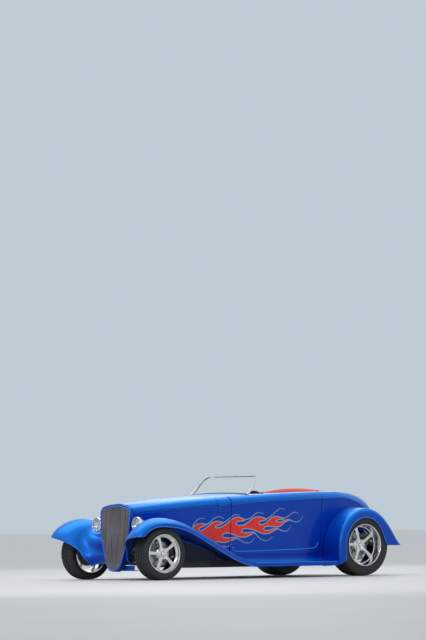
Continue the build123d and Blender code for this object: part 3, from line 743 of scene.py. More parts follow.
# belt bead along the body: its line in x and z, and the runs it is split into with their nodes and bodies
beltLine = [(1.6, 0.745), (1.15, 0.78), (0.62, 0.822), (0.1, 0.864), (-0.25, 0.88), (-0.6, 0.893),
            (-0.9, 0.9005),
            (-1.15, 0.905), (-1.3, 0.893), (-1.42, 0.868), (-1.5, 0.84), (-1.6, 0.794), (-1.7, 0.738),
            (-1.79, 0.68),
            (-1.87, 0.61), (-1.93, 0.54)]
beltRuns = [
    ("Hood", 1.575, 0.63, "hood_sides", "body"),
    ("Cowl", 0.612, 0.459, "cowl", "body"),
    ("Door", 0.44, -0.846, "door_left", "door_left"),
    ("Rear", -0.86, -1.9, "rear_body", "body"),
]
beltBead = {"drop": -0.0105, "pitch": 0.03, "fewest": 6, "radius": 0.0075, "sunk": 0.002}


def heightOn(line, x):
    for (x0, z0), (x1, z1) in zip(line, line[1:]):
        if x1 <= x <= x0:
            return z0 + (z1 - z0) * (x - x0) / (x1 - x0)
    return line[-1][1]


def makeBeltBead():
    size = beltBead
    belt = smoothLine(beltLine, 8)
    for label, start, stop, node, body in beltRuns:
        count = max(size["fewest"], int(abs(stop - start) / size["pitch"]))
        reach = [start + (stop - start) * index / count for index in range(count + 1)]
        path = [(x, heightOn(belt, x) + size["drop"]) for x in reach]
        points = onSide(node, path, size["sunk"])
        piece = bead("beltBead" + label + "Left", points, size["radius"], "bluePaint", body)
        bothSides(piece, "bluePaint", body)


# raised moulding low on the door with a turned-up end; the left one in a lighter blue, a painted highlight
doorBead = {"path": [(-0.815, 0.392), (-0.8, 0.352), (-0.765, 0.329), (-0.7, 0.321), (-0.4, 0.312),
                     (-0.1, 0.305),
                     (0.2, 0.3), (0.34, 0.301), (0.39, 0.312), (0.405, 0.333), (0.395, 0.352)],
            "sunk": 0.0005, "radius": 0.0065}


def makeDoorBead():
    points = onSide("door_left", smoothLine(doorBead["path"], 6), doorBead["sunk"])
    piece = bead("doorBeadLeft", points, doorBead["radius"], "beadPaintedHighlight", "door_left")
    bothSides(piece, "bluePaint", "door_left")


def edgePoints(node, side):
    # the points of a node that lie further out than side
    piece = cad[node]
    spots = [piece.matrix_world @ point.co for point in piece.data.vertices]
    return [spot for spot in spots if spot.y > side]


def nearestRow(points, step, size):
    # one point for each step along the edge, the one with the least size
    rows = {}
    for spot in points:
        number = round(step(spot))
        if number not in rows or size(spot) < size(rows[number]):
            rows[number] = spot
    return [rows[number] for number in sorted(rows)]


def evened(points, rounds):
    for turn in range(rounds):
        middle = [(a + b * 2 + c) / 4 for a, b, c in zip(points, points[1:], points[2:])]
        points = [points[0]] + middle + [points[-1]]
    return points


# rolled edges of the fenders and the running board, in a lighter blue as painted highlight
fenderBeads = {
    "rearSide": 0.8755, "frontSide": 0.8455, "sunk": 0.004, "radius": 0.0055, "pitch": 0.03, "steps": 30,
    "leading": [(0.375, 0.158), (0.43, 0.4), (0.56, 0.48), (0.9, 0.488)], "span": (0.02, 0.87),
    "leadingEnd": 0.842,
    "board": (0.841, 0.1725), "boardSpan": (-920, 299, 58), "boardRadius": 0.005,
}


def rearLip():
    # points of the rear fender's lip in order round the wheel, one for every three degrees
    hub = Vector((wheelSizes["rear"]["x"], 0, wheelSizes["rear"]["radius"]))

    def step(p):
        turn = math.atan2(p.z - hub.z, p.x - hub.x) + math.radians(60)
        return math.degrees(turn % math.tau) / 3
    points = edgePoints("rear_fender_left", fenderBeads["rearSide"])
    return evened(nearestRow(points, step, lambda p: math.hypot(p.x - hub.x, p.z - hub.z)), 2)


def frontLip():
    points = edgePoints("front_fender_left", fenderBeads["frontSide"])
    return evened(nearestRow(points, lambda p: -p.x / fenderBeads["pitch"], lambda p: p.z), 4)


def leadingEdge():
    # the front fender's edge beside the grille, along the curve it was cut to
    size = fenderBeads
    edge = []
    for step in range(size["steps"] + 1):
        t = size["span"][0] + size["span"][1] * step / size["steps"]
        weights = ((1 - t) ** 3, 3 * t * (1 - t) ** 2, 3 * t * t * (1 - t), t ** 3)
        y, z = (sum(w * p[axis] for w, p in zip(weights, size["leading"])) for axis in (0, 1))
        hit = hitFrom("front_fender_left", (2.3, y - 0.002, z + 0.004), (-1, 0, 0))
        if hit and y <= size["leadingEnd"]:
            edge.append((hit[0].x - size["sunk"], y, z))
    return edge


def makeFenderBeads():
    size = fenderBeads
    rear = [(p.x, p.y - size["sunk"], p.z) for p in rearLip()]
    front = [(p.x, p.y - size["sunk"], p.z) for p in frontLip()]
    board = [(x / 1000, *size["board"]) for x in range(*size["boardSpan"])]
    for name, points, radius in (
        ("rearLipLeft", rear, size["radius"]),
        ("frontLipLeft", leadingEdge() + front, size["radius"]),
        ("boardEdgeLeft", board, size["boardRadius"]),
    ):
        piece = bead(name, points, radius, "beadPaintedHighlight", "body")
        bothSides(piece, "beadPaintedHighlight", "body")


makeBeltBead()
makeDoorBead()
makeFenderBeads()
print("beads ready")


# flames on the sides: the red shape and the pinstripes that leave it, seen from the side, in millimetres
flameOutline = [
    (919, 544), (897, 585), (866, 607), (818, 620), (773, 618), (740, 609), (764, 598), (791, 586),
    (815, 575), (830, 562), (826, 548), (805, 541), (781, 550), (755, 567), (724, 590), (697, 613),
    (666, 633), (626, 644), (582, 640), (537, 627), (567, 613), (596, 602), (626, 595), (639, 584),
    (630, 573), (596, 571), (561, 581), (517, 606), (477, 635), (437, 664), (397, 682), (347, 688),
    (307, 676), (261, 658), (286, 645), (326, 643), (362, 636), (376, 618), (361, 600), (326, 593),
    (276, 601), (226, 626), (186, 652), (146, 677), (95, 690), (39, 685), (6, 675), (-33, 661),
    (-6, 649), (33, 644), (66, 635), (72, 617), (44, 603), (5, 606), (-39, 628), (-73, 657),
    (-111, 683), (-161, 694), (-217, 683), (-285, 666), (-235, 658), (-195, 654), (-162, 646), (-179, 631),
    (-218, 627), (-263, 637), (-319, 652), (-375, 654), (-330, 638), (-285, 619), (-247, 590), (-208, 574),
    (-163, 574), (-118, 578), (-62, 582), (-18, 574), (4, 556), (-13, 538), (-63, 537), (-119, 548),
    (-163, 557), (-202, 555), (-174, 543), (-130, 525), (-86, 506), (-30, 495), (26, 501), (70, 516),
    (114, 534), (164, 548), (215, 557), (265, 558), (297, 543), (300, 526), (275, 514), (224, 512),
    (174, 516), (129, 514), (154, 500), (194, 480), (244, 464), (294, 461), (345, 472), (395, 489),
    (435, 503), (485, 510), (525, 503), (547, 485), (535, 465), (495, 456), (445, 457), (395, 461),
    (359, 459), (394, 439), (444, 421), (504, 406), (564, 406), (604, 417), (642, 398), (704, 398),
    (776, 440), (856, 496),
]
flameLicks = [
    [(906, 589), (884, 624), (849, 664), (805, 682), (767, 674)],
    [(746, 609), (698, 640), (662, 673), (618, 695), (578, 691), (539, 672)],
    [(542, 626), (487, 658), (437, 696), (388, 718), (335, 706)],
    [(266, 656), (186, 678), (136, 717), (79, 739), (8, 719)],
    [(-28, 662), (-111, 708), (-161, 748), (-216, 781), (-284, 772)],
    [(-279, 667), (-352, 699), (-408, 730), (-453, 737), (-492, 722)],
    [(-364, 652), (-426, 632), (-482, 628), (-530, 651), (-558, 695)],
    [(-194, 555), (-259, 529), (-315, 523), (-365, 548), (-389, 587)],
    [(134, 514), (92, 480), (42, 439), (-25, 420), (-84, 431), (-122, 463)],
    [(370, 459), (314, 429), (253, 401), (193, 397), (151, 421), (129, 451)],
    [(544, 370), (494, 356), (454, 364), (426, 393)],
]
flameRuns = [
    ("Hood", 0.6203, 0.95, ["hood_sides", "front_aprons", "cowl"], "body"),
    ("Cowl", 0.4479, 0.6203, ["cowl", "sills", "hood_sides"], "body"),
    ("Door", -0.848, 0.4424, ["door_left"], "door_left"),
]
flameSizes = {"lift": 0.0012, "stripe": 0.006, "flatness": 0.2, "cut": 0.04, "beside": 0.01, "step": 0.003,
              "inner": 0.1}


def inMetres(points):
    return [(x / 1000, z / 1000) for x, z in points]


def cutAt(piece, x, **settings):
    editOn(piece)
    bpy.ops.mesh.select_all(action="SELECT")
    bpy.ops.mesh.bisect(plane_co=(x, 0, 0), plane_no=(1, 0, 0), **settings)
    editOff()


def gridCuts(piece, step):
    spots = [point.co.x for point in piece.data.vertices]
    cut = math.ceil(min(spots) / step) * step
    while cut < max(spots):
        cutAt(piece, cut)
        cut += step


def underFender(spot):
    return hitFrom("front_fender_left", spot + Vector((0, 0.004, 0)), (0, 0, 1))


def layOn(piece, nodes):
    # drops a flat piece in the x and z plane onto the body's side, and clears what has nothing under it
    # or lies below the front fender
    size = flameSizes
    loose = set()
    for point in piece.data.vertices:
        x, z = point.co.x, point.co.z
        hit = sideHit(nodes, x, z)
        beside = [sideHit(nodes, x + shift, z) for shift in (-size["beside"], size["beside"])]
        beside = [near for near in beside if near]
        if beside:
            best = max(beside, key=lambda near: near[0].y)
            hit = best if not hit or best[0].y - hit[0].y > size["step"] else hit
        if hit:
            point.co.y += hit[0].y + size["lift"]
        if not hit or underFender(point.co):
            loose.add(point.index)
    editOn(piece)
    bpy.ops.mesh.select_mode(type="VERT")
    cage = bmesh.from_edit_mesh(piece.data)
    for face in cage.faces:
        bare = all(point.index in loose for point in face.verts)
        if bare or any(abs(point.co.y) < size["inner"] for point in face.verts):
            face.select_set(True)
    bmesh.update_edit_mesh(piece.data)
    bpy.ops.mesh.delete(type="FACE")
    bpy.ops.mesh.select_all(action="SELECT")
    bpy.ops.mesh.delete_loose()
    editOff()


def makeFlamePanel():
    outline = smoothLine(inMetres(flameOutline), 3, closed=True)
    red = curveMesh("flameRed", [outline], True, fill=True)
    layUpright(red)
    editOn(red)
    bpy.ops.mesh.select_all(action="SELECT")
    bpy.ops.mesh.remove_doubles(threshold=0.0002)
    bpy.ops.mesh.dissolve_limited(angle_limit=math.radians(0.5))
    editOff()
    return red, outline


def makeStripes(outline):
    # the line round the flames and the licks that leave it, flattened
    loop = [(x, 0.0, z) for x, z in outline]
    licks = [[(x, 0.0, z) for x, z in smoothLine(inMetres(line), 6)] for line in flameLicks]
    stripe = curveMesh("stripeLoop", [loop], True, flameSizes["stripe"], 1)
    ends = curveMesh("stripeLicks", licks, False, flameSizes["stripe"], 1, taper=(1.0, 0.4))
    stripes = joined("stripes", stripe, ends)
    for point in stripes.data.vertices:
        point.co.y *= flameSizes["flatness"]
    return stripes


def makeFlames():
    red, outline = makeFlamePanel()
    stripes = makeStripes(outline)
    gridCuts(red, flameSizes["cut"])
    for label, low, high, nodes, body in flameRuns:
        for master, look in ((red, "flameRed"), (stripes, "stripeSilver")):
            piece = copyOf(master, master.name + label + "Left")
            cutAt(piece, low, clear_inner=True, clear_outer=False, use_fill=False)
            cutAt(piece, high, clear_inner=False, clear_outer=True, use_fill=False)
            layOn(piece, nodes)
            tidyNormals(piece)
            if master is red:
                faceTowards(piece, 1, 1)
            smooth(piece, 60)
            fit(piece, look, body)
            other = bothSides(piece, look, body)
            if master is red:
                faceTowards(other, 1, -1)
    discard(red, stripes)


makeFlames()
print("flames ready")


# padded pieces: each is blown up as cloth from the plain solid, held along its sewn seams
cushion = {"inset": 0.012, "voxel": 0.0065, "pressure": 4.0, "cap": 0.016, "soften": 4, "fill": 0.75}
backrest = {"inset": 0.009, "voxel": 0.0075, "pressure": 4.0, "cap": 0.016, "soften": 26, "fill": 0.75}
shelf = {"inset": 0.006, "voxel": 0.006, "pressure": 3.0, "cap": 0.01, "soften": 4, "fill": 0.75}
doorRoll = {"inset": 0.003, "voxel": 0.005, "pressure": 4.0, "cap": 0.009, "soften": 4, "fill": 0.85}
sewing = {"seat": 0.125, "seatShare": 0.03, "shelf": 0.3, "shelfShare": 0.04 / 3, "cushionEnds": (0.06, 0.08),
          "cushionTop": 0.03, "cushionFoot": 0.012, "back": (0.5, 0.9)}
rolls = {"pitch": 0.055, "deep": 0.008, "wide": 0.44, "facing": 0.4,
         "cushion": (-0.74, -0.37), "back": (0.5, 0.86)}


def bounds(node):
    spots = [cad[node].matrix_world @ point.co for point in cad[node].data.vertices]
    low = Vector([min(p[axis] for p in spots) for axis in range(3)])
    high = Vector([max(p[axis] for p in spots) for axis in range(3)])
    return low, high


def blownUp(piece, size, isSewn):
    # twenty frames of cloth under pressure; nothing moves further than the cap
    start = [point.co.copy() for point in piece.data.vertices]
    held = piece.vertex_groups.new(name="sewn")
    held.add([point.index for point in piece.data.vertices if isSewn(point.co)], 1.0, "REPLACE")
    pick(piece)
    cloth = piece.modifiers.new("Cloth", "CLOTH")
    cloth.settings.use_pressure = True
    cloth.settings.uniform_pressure_force = size["pressure"]
    cloth.settings.effector_weights.gravity = 0
    cloth.settings.vertex_group_mass = "sewn"
    cloth.settings.quality = 4
    cloth.point_cache.frame_start = 1
    cloth.point_cache.frame_end = 20
    for number in range(1, 21):
        bpy.context.scene.frame_set(number)
    bpy.ops.object.modifier_apply(modifier=cloth.name)
    bpy.context.scene.frame_set(1)
    for point, before in zip(piece.data.vertices, start):
        move = point.co - before
        if move.length > size["cap"]:
            point.co = before + move.normalized() * size["cap"]


def padded(name, node, size, sewn, body, creases=None):
    piece = copyOf(cad[node], name)
    piece.parent = None
    place(piece)
    tidyNormals(piece)
    modify(piece, "REMESH", mode="VOXEL", voxel_size=size["voxel"])
    low, high = bounds(node)
    middle = (low + high) / 2
    for point in piece.data.vertices:
        for axis in range(3):
            half = (high[axis] - low[axis]) / 2
            point.co[axis] = middle[axis] + (point.co[axis] - middle[axis]) * (half - size["inset"]) / half
    blownUp(piece, size, lambda co: sewn(co, low, high))
    modify(piece, "SMOOTH", factor=0.5, iterations=size["soften"])
    if creases:
        normals = [Vector(point.normal) for point in piece.data.vertices]
        for point, normal in zip(piece.data.vertices, normals):
            point.co -= normal * creases(point.co, normal)
    smooth(piece, 80)
    fit(piece, "redLeather", body)
    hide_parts(node)
    return piece


def seam(y, pitch, share):
    return abs((y / pitch) % 1 - 0.5) < share


def sewnCushion(co, low, high):
    rear, front = sewing["cushionEnds"]
    top = low.x + rear < co.x < high.x - front and co.z > high.z - sewing["cushionTop"]
    return seam(co.y, sewing["seat"], sewing["seatShare"]) and top or co.z < low.z + sewing["cushionFoot"]


def sewnBack(co, low, high):
    return seam(co.y, sewing["seat"], sewing["seatShare"]) and sewing["back"][0] < co.z < sewing["back"][1]


def sewnShelf(co, low, high):
    return seam(co.y, sewing["shelf"], sewing["shelfShare"])


def notSewn(co, low, high):
    return False


def rolled(y):
    # sewn rolls side by side, with a crease between each two
    return rolls["deep"] * (1 - abs(math.sin(math.pi * y / rolls["pitch"])) ** 0.55)


def cushionRolls(co, normal):
    inside = rolls["cushion"][0] < co.x < rolls["cushion"][1] and abs(co.y) <= rolls["wide"]
    return rolled(co.y) if inside and normal.z >= rolls["facing"] else 0


def backRolls(co, normal):
    inside = rolls["back"][0] < co.z < rolls["back"][1] and abs(co.y) <= rolls["wide"]
    return rolled(co.y) if inside and normal.x >= rolls["facing"] else 0


padded("seatCushion", "seat_cushion", cushion, sewnCushion, "body", cushionRolls)
padded("seatBack", "seat_back", backrest, sewnBack, "body", backRolls)
padded("rearShelfPad", "rear_shelf", shelf, sewnShelf, "body")
padded("doorRollLeft", "door_roll_left", doorRoll, notSewn, "door_left")
padded("doorRollRight", "door_roll_right", doorRoll, notSewn, "door_right")
print("padding ready")


# grille: an insert of fine rounded bars over the flat ones, with a bead round it in a lighter blue as painted
# highlight
grilleInsert = {"count": 49, "pitch": 0.0108, "radius": 0.0037, "rim": 0.015, "foot": (1.661, 0.088),
                "lean": 3.4,
                "side": 0.26, "shortest": 0.05, "bead": 0.004, "core": (0.15, 0.15, 0.8), "steps": 6}


def grilleFront(z):
    size = grilleInsert
    return size["foot"][0] - (z - size["foot"][1]) * math.tan(math.radians(size["lean"]))


def grilleReach(y):
    # how low and how high the shell's face reaches at this distance from the middle, its opening included
    side, low, high = grilleInsert["core"]
    reach = [z for z in (step / 1000 for step in range(90, 850, 3))
             if hitFrom("grille_shell", (1.8, y, z), (-1, 0, 0)) or low < z < high and abs(y) < side]
    return (min(reach), max(reach)) if reach else (0, 0)


def makeGrille():
    size = grilleInsert
    rods, tops, feet = [], [], []
    for index in range(size["count"]):
        y = (index - (size["count"] - 1) / 2) * size["pitch"]
        rim = size["rim"] * (1 + min(1, abs(y) / size["side"]))
        low, high = grilleReach(y)
        low, high = low + rim, high - rim
        if high - low < size["shortest"]:
            continue
        heights = [low + (high - low) * share / size["steps"] for share in range(size["steps"] + 1)]
        line = [(grilleFront(z), y, z) for z in heights]
        rods.append(curveMesh("rod" + str(index), [line], False, size["radius"], 1))
        tops.append(line[-1])
        feet.append(line[0])
    bars = joined("grilleRods", *rods)
    smooth(bars, 60)
    fit(bars, "grilleMetal", "body")
    bead("grilleBead", tops + feet[::-1], size["bead"], "beadPaintedHighlight", "body", closed=True)


makeGrille()
print("grille ready")


# headlamps: bucket, ring, fluted glass, reflector and bulb, spun about the lamp's own axis
lampSizes = {
    "x": 1.588, "y": 0.372, "z": 0.618, "radius": 0.086, "steps": 64,
    "stemBack": 0.04, "stemTop": 0.055, "stemHigh": 0.09, "stemSunk": 0.004,
    "flutes": 9, "flutePitch": 0.0075, "fluteRadius": 0.0012, "fluteFront": 0.0295, "fluteBulge": 0.0045,
    "crest": [(-0.085, 0, 0.024), (-0.06, 0, 0.061), (-0.02, 0, 0.082), (0.012, 0, 0.0865)],
    "crestRadius": 0.003,
    "bulb": [(-0.036, 0.009), (-0.022, 0.0095), (-0.018, 0.012), (-0.004, 0.013), (0.004, 0.009),
             (0.007, 0.0004)],
    "stem": [(0, 0.0004), (0, 0.03), (0.004, 0.0305), (0.012, 0.02), (0.03, 0.0145), (0.07, 0.0135),
             (0.085, 0.02), (0.09, 0.0004)],
}


def makeLampGlass(r):
    glass = spunLine("lampGlass", [(0.0385, 0.0004), (0.038, 0.02), (0.0365, 0.04), (0.0335, 0.06),
                     (0.0285, r - 0.012), (0.0255, r - 0.012), (0.0305, 0.06), (0.0335, 0.04), (0.035, 0.02),
                     (0.0355, 0.0004)], lampSizes["steps"], soften=50)
    flutes = []
    for index in range(-lampSizes["flutes"], lampSizes["flutes"] + 1):
        y = index * lampSizes["flutePitch"]
        half = math.sqrt(max((r - 0.016) ** 2 - y * y, 0))
        line = [(lampSizes["fluteFront"] + lampSizes["fluteBulge"] * (1 - (y * y + z * z) / (r * r)), y, z)
                for z in (-half, -half / 2, 0, half / 2, half)]
        flutes.append(curveMesh("flute" + str(index), [line], False, lampSizes["fluteRadius"], 1))
    return joined("lampGlass", glass, *flutes)


def makeHeadlamps():
    size = lampSizes
    r, steps = size["radius"], size["steps"]
    bucket = spunLine("lampBucket", [(-0.093, 0.0004), (-0.09, 0.014), (-0.078, 0.036), (-0.058, 0.058),
                      (-0.03, 0.074), (0.0, r - 0.006), (0.012, r - 0.003), (0.02, r - 0.0025),
                      (0.02, r - 0.01)],
                      steps, soften=50)
    ring = spunLine("lampRing", [(0.012, r - 0.004), (0.013, r - 0.0005), (0.018, r), (0.025, r - 0.001),
                    (0.0305, r - 0.005), (0.032, r - 0.0095), (0.03, r - 0.0125), (0.026, r - 0.013)],
                    steps, soften=50)
    bowl = spunLine("lampBowl", [(-0.04, 0.0004), (-0.037, 0.018), (-0.027, 0.04), (-0.008, 0.06),
                    (0.018, r - 0.012)], steps, soften=50)
    glass = makeLampGlass(r)
    bulb = spunLine("lampBulb", size["bulb"], 24, soften=50)
    crest = curveMesh("lampCrest", [size["crest"]], False, size["crestRadius"], 2)
    stem = spunLine("lampStem", size["stem"], 32, alongY)
    layUpright(stem)
    ground = hitFrom("front_fender_left", (size["x"] - size["stemBack"], size["y"], 0.6), (0, 0, -1))
    foot = ground[0].z - size["stemSunk"]
    for point in stem.data.vertices:
        point.co.z *= (size["z"] - size["stemTop"] - foot) / size["stemHigh"]
    shell = joined("lampShell", bucket, ring, crest)
    for side, sign in (("Left", 1), ("Right", -1)):
        middle = (size["x"], sign * size["y"], size["z"])
        standing = (size["x"] - size["stemBack"], sign * size["y"], foot)
        for master, look, spot in (
            (shell, "chrome", middle),
            (bowl, "chrome", middle),
            (glass, "lampGlass", middle),
            (bulb, "lampGlass", middle),
            (stem, "chrome", standing),
        ):
            piece = copyOf(master, master.name + side)
            putAt(piece, spot)
            fit(piece, look, "body")
            if master is shell and side == "Left":
                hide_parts("headlamps")
    discard(shell, bowl, glass, bulb, stem)


makeHeadlamps()
print("headlamps ready")


# steering wheel: leather rim, three polished spokes and a button, turned to face the driver
steeringSizes = {
    "rim": 0.165, "grip": (0.0115, 0.0125), "gripSides": 14, "spokes": (0, 120, 240), "spokeRadius": 0.011,
    "spokeReach": (0.02, 0.06, 0.1, 0.14, 0.159), "front": 0.006, "dish": 0.012, "flatness": 0.35,
    "boss": [(-0.022, 0.0004), (-0.022, 0.022), (-0.012, 0.031), (0.004, 0.033), (0.009, 0.0305),
             (0.009, 0.026),
             (0.013, 0.0245), (0.018, 0.018), (0.0205, 0.009), (0.021, 0.0004)],
    "spot": (-0.16, 0.33, 0.8193), "lean": 0.315,
}


def makeSteeringWheel():
    size = steeringSizes
    deep, wide = size["grip"]
    turns = [math.tau * step / size["gripSides"] for step in range(size["gripSides"] + 1)]
    ring = [(deep * math.sin(turn), size["rim"] + wide * math.cos(turn)) for turn in turns]
    grip = spunLine("wheelGrip", ring, 96, soften=60)
    spokes = []
    for turn in size["spokes"]:
        angle = math.radians(turn - 90)
        line = [(size["front"] - size["dish"] * out / size["rim"], out * math.cos(angle),
                 out * math.sin(angle))
                for out in size["spokeReach"]]
        spoke = curveMesh("wheelSpoke" + str(turn), [line], False, size["spokeRadius"], 3, taper=(1.15, 0.75))
        for point in spoke.data.vertices:
            point.co.x *= size["flatness"]
        spokes.append(spoke)
    boss = spunLine("wheelBoss", size["boss"], 48)
    metal = joined("wheelSpokes", boss, *spokes)
    smooth(metal, 40)
    for piece, look in ((grip, "blackTrim"), (metal, "chrome")):
        putAt(piece, size["spot"], (0, math.pi + math.asin(size["lean"]), 0))
        fit(piece, look, "steering_wheel")
    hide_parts("steering_wheel")


# dashboard: round dials with plain marks, each with its place across, its height and its radius
dials = [(0.055, 0.84, 0.043), (-0.055, 0.84, 0.043), (0.14, 0.84, 0.027), (-0.14, 0.84, 0.027),
         (0.205, 0.84, 0.027), (-0.205, 0.84, 0.027)]
dialSizes = {"marks": 9, "first": -135, "span": 270, "markFrom": 0.72, "markTo": 0.88, "markFront": -0.0028,
             "needle": -100, "needleStep": 35, "needleFrom": -0.15, "needleTo": 0.7, "needleFront": -0.0038,
             "line": 0.0009, "steps": 48}


def dialLine(front, turn, start, stop, r):
    return [(front, share * r * math.sin(turn), share * r * math.cos(turn)) for share in (start, stop)]


def makeDials():
    size = dialSizes
    rims, faces, marks = [], [], []
    for number, (y, z, r) in enumerate(dials):
        spot = hitFrom("dashboard", (-0.4, y, z), (1, 0, 0))[0]
        rims.append(spunLine("dialRim" + str(number), [(0.002, r + 0.004), (-0.006, r + 0.0035),
                    (-0.0085, r + 0.001), (-0.0075, r - 0.002), (-0.002, r - 0.003)], size["steps"]))
        faces.append(spunLine("dialFace" + str(number), [(-0.002, r - 0.002), (-0.0022, r * 0.5),
                     (-0.0024, 0.0004)], size["steps"]))
        turns = [math.radians(size["first"] + size["span"] * step / (size["marks"] - 1))
                 for step in range(size["marks"])]
        lines = [dialLine(size["markFront"], turn, size["markFrom"], size["markTo"], r) for turn in turns]
        needle = math.radians(size["needle"] + size["needleStep"] * number)
        lines.append(dialLine(size["needleFront"], needle, size["needleFrom"], size["needleTo"], r))
        marks.append(curveMesh("dialMarks" + str(number), lines, False, size["line"], 1))
        for piece in (rims[-1], faces[-1], marks[-1]):
            putAt(piece, (spot.x, y, z))
    for name, group, look in (("dialRims", rims, "chrome"), ("dialFaces", faces, "dialFace"),
                              ("dialMarks", marks, "blackTrim")):
        piece = joined(name, *group)
        smooth(piece, 45)
        fit(piece, look, "body")


def spunPart(name, profile, steps, spot, turn, look, soften=45):
    piece = spunLine(name, profile, steps, soften=soften)
    putAt(piece, spot, turn)
    return fit(piece, look, "body")


def rodPart(name, line, radius, look, resolution=3, taper=None):
    piece = curveMesh(name, [line], False, radius, resolution, taper=taper)
    smooth(piece, 60)
    return fit(piece, look, "body")


# knobs, lamp rings, pipe ends with a black disc of painted shade inside each, windshield feet and the
# windshield's seal
fittings = {
    "knobs": (-0.3, -0.26, 0.265), "knobHigh": 0.84,
    "knob": [(0.0, 0.0075), (-0.004, 0.007), (-0.012, 0.0045), (-0.016, 0.008), (-0.022, 0.0085),
             (-0.025, 0.006),
             (-0.026, 0.0004)],
    "lamp": (0.3, 0.6),
    "ring": [(0.012, 0.0415), (-0.004, 0.0455), (-0.0105, 0.0445), (-0.0115, 0.0415), (-0.009, 0.0395),
             (0.004, 0.0392)],
    "lens": [(0.012, 0.039), (-0.009, 0.0385), (-0.0125, 0.036), (-0.0115, 0.034), (-0.0155, 0.031),
             (-0.0145, 0.0285), (-0.018, 0.0255), (-0.017, 0.0225), (-0.02, 0.0185), (-0.0185, 0.0155),
             (-0.0205, 0.011), (-0.021, 0.0004)],
    "pipe": (-1.87, 0.25, 0.225),
    "pipeEnd": [(0.11, 0.0262), (0.02, 0.0285), (-0.005, 0.031), (-0.011, 0.0325), (-0.014, 0.0315),
                (-0.0135, 0.0285), (-0.005, 0.0268), (0.06, 0.0258)],
    "pipeShadeDisc": [(-0.0012, 0.0266), (-0.0013, 0.0004)],
    "post": [(0.15, 0.522, 0.945), (0.12, 0.522, 0.965), (0.08, 0.5165, 1.005), (0.05, 0.512, 1.038)],
    "postMiddle": 0.517, "postFlatness": 0.75, "postRadius": 0.0115, "postTaper": (1.25, 0.8),
    "sealX": 0.145, "sealSide": 0.5, "sealSteps": 40, "sealLift": 0.001, "sealRadius": 0.006,
}


def makeTailLamp(side, sign):
    across, high = fittings["lamp"]
    spot, facing = hitFrom("rear_body", (-2.2, sign * across, high), (1, 0, 0))
    straight = (facing + Vector((-0.8, 0, 0))).normalized()
    turn = Vector((-1, 0, 0)).rotation_difference(straight).to_euler()
    spunPart("tailRing" + side, fittings["ring"], 48, spot, turn, "chrome")
    glow = spunPart("tailLens" + side, fittings["lens"], 48, spot, turn, "redLens")
    if side == "Left":
        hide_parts("tail_lamps")


def makePost(side, sign):
    line = [(x, sign * y, z) for x, y, z in fittings["post"]]
    middle = sign * fittings["postMiddle"]
    foot = curveMesh("windshieldPost" + side, [line], False, fittings["postRadius"], 3,
                     taper=fittings["postTaper"])
    for point in foot.data.vertices:
        point.co.y = middle + (point.co.y - middle) * fittings["postFlatness"]
    smooth(foot, 60)
    fit(foot, "chrome", "body")


def makeSeal():
    size = fittings
    line = []
    for index in range(size["sealSteps"] + 1):
        y = size["sealSide"] * (2 * index / size["sealSteps"] - 1)
        hit = hitFrom("cowl", (size["sealX"], y, 1.5), (0, 0, -1))
        if hit:
            line.append(tuple(hit[0] + Vector((0, 0, size["sealLift"]))))
    bead("windshieldSeal", line, size["sealRadius"], "blackTrim", "body")


def makeFittings():
    for number, y in enumerate(fittings["knobs"]):
        high = fittings["knobHigh"]
        hit = hitFrom("dashboard", (-0.4, y, high), (1, 0, 0))
        if hit:
            spunPart("dashKnob" + str(number), fittings["knob"], 24, (hit[0].x, y, high), (0, 0, 0), "chrome")
    for side, sign in (("Left", 1), ("Right", -1)):
        makeTailLamp(side, sign)
        x, y, z = fittings["pipe"]
        spunPart("pipeEnd" + side, fittings["pipeEnd"], 48, (x, sign * y, z), (0, 0, 0), "chrome")
        # a black disc inside the pipe end: painted shade standing for the dark inside of the pipe
        spunPart("pipeShadeDisc" + side, fittings["pipeShadeDisc"], 32, (x, sign * y, z), (0, 0, 0), "blackTrim")
        makePost(side, sign)
    makeSeal()


# the fixed seam between the hood's side and the cowl, filled and painted over
seamFill = {"cuts": (6, 40), "size": (0.018, 0.33), "spot": (0.6203, 0, 0.641),
            "beside": 0.008, "sunk": 0.0007}


def makeSeamFill():
    size = seamFill
    strip = gridPiece("seamFillLeft", *size["cuts"])
    strip.scale = (*size["size"], 1)
    putAt(strip, size["spot"], (math.radians(90), 0, 0))
    for point in strip.data.vertices:
        near = [sideHit(["hood_sides", "cowl"], point.co.x + shift, point.co.z)
                for shift in (-size["beside"], size["beside"])]
        near = [hit[0].y for hit in near if hit and hit[0].y > 0.2]
        if near:
            point.co.y = sum(near) / len(near) - size["sunk"]
    editOn(strip)
    chooseFaces(strip, lambda face: any(abs(point.co.y) < 0.1 for point in face.verts))
    bpy.ops.mesh.delete(type="FACE")
    editOff()
    smooth(strip, 60)
    faceTowards(strip, 1, 1)
    fit(strip, "bluePaint", "body")
    other = copyOf(strip, "seamFillRight")
    flipAcross(other)
    faceTowards(other, 1, -1)
    fit(other, "bluePaint", "body")


# door cards and carpet, laid on the inner surfaces
trimSizes = {
    "card": {"low": (-0.78, 0.34), "high": (0.36, 0.87), "cuts": (150, 24), "thick": 0.003,
             "lift": 0.004, "pleat": 0.004, "pitch": 0.06, "inner": 0.4},
    "carpet": {"low": (-0.28, -0.46), "high": (0.6, 0.46), "cuts": (70, 70), "thick": 0.005,
               "lift": 0.006, "above": 0.62, "flat": 0.3},
}


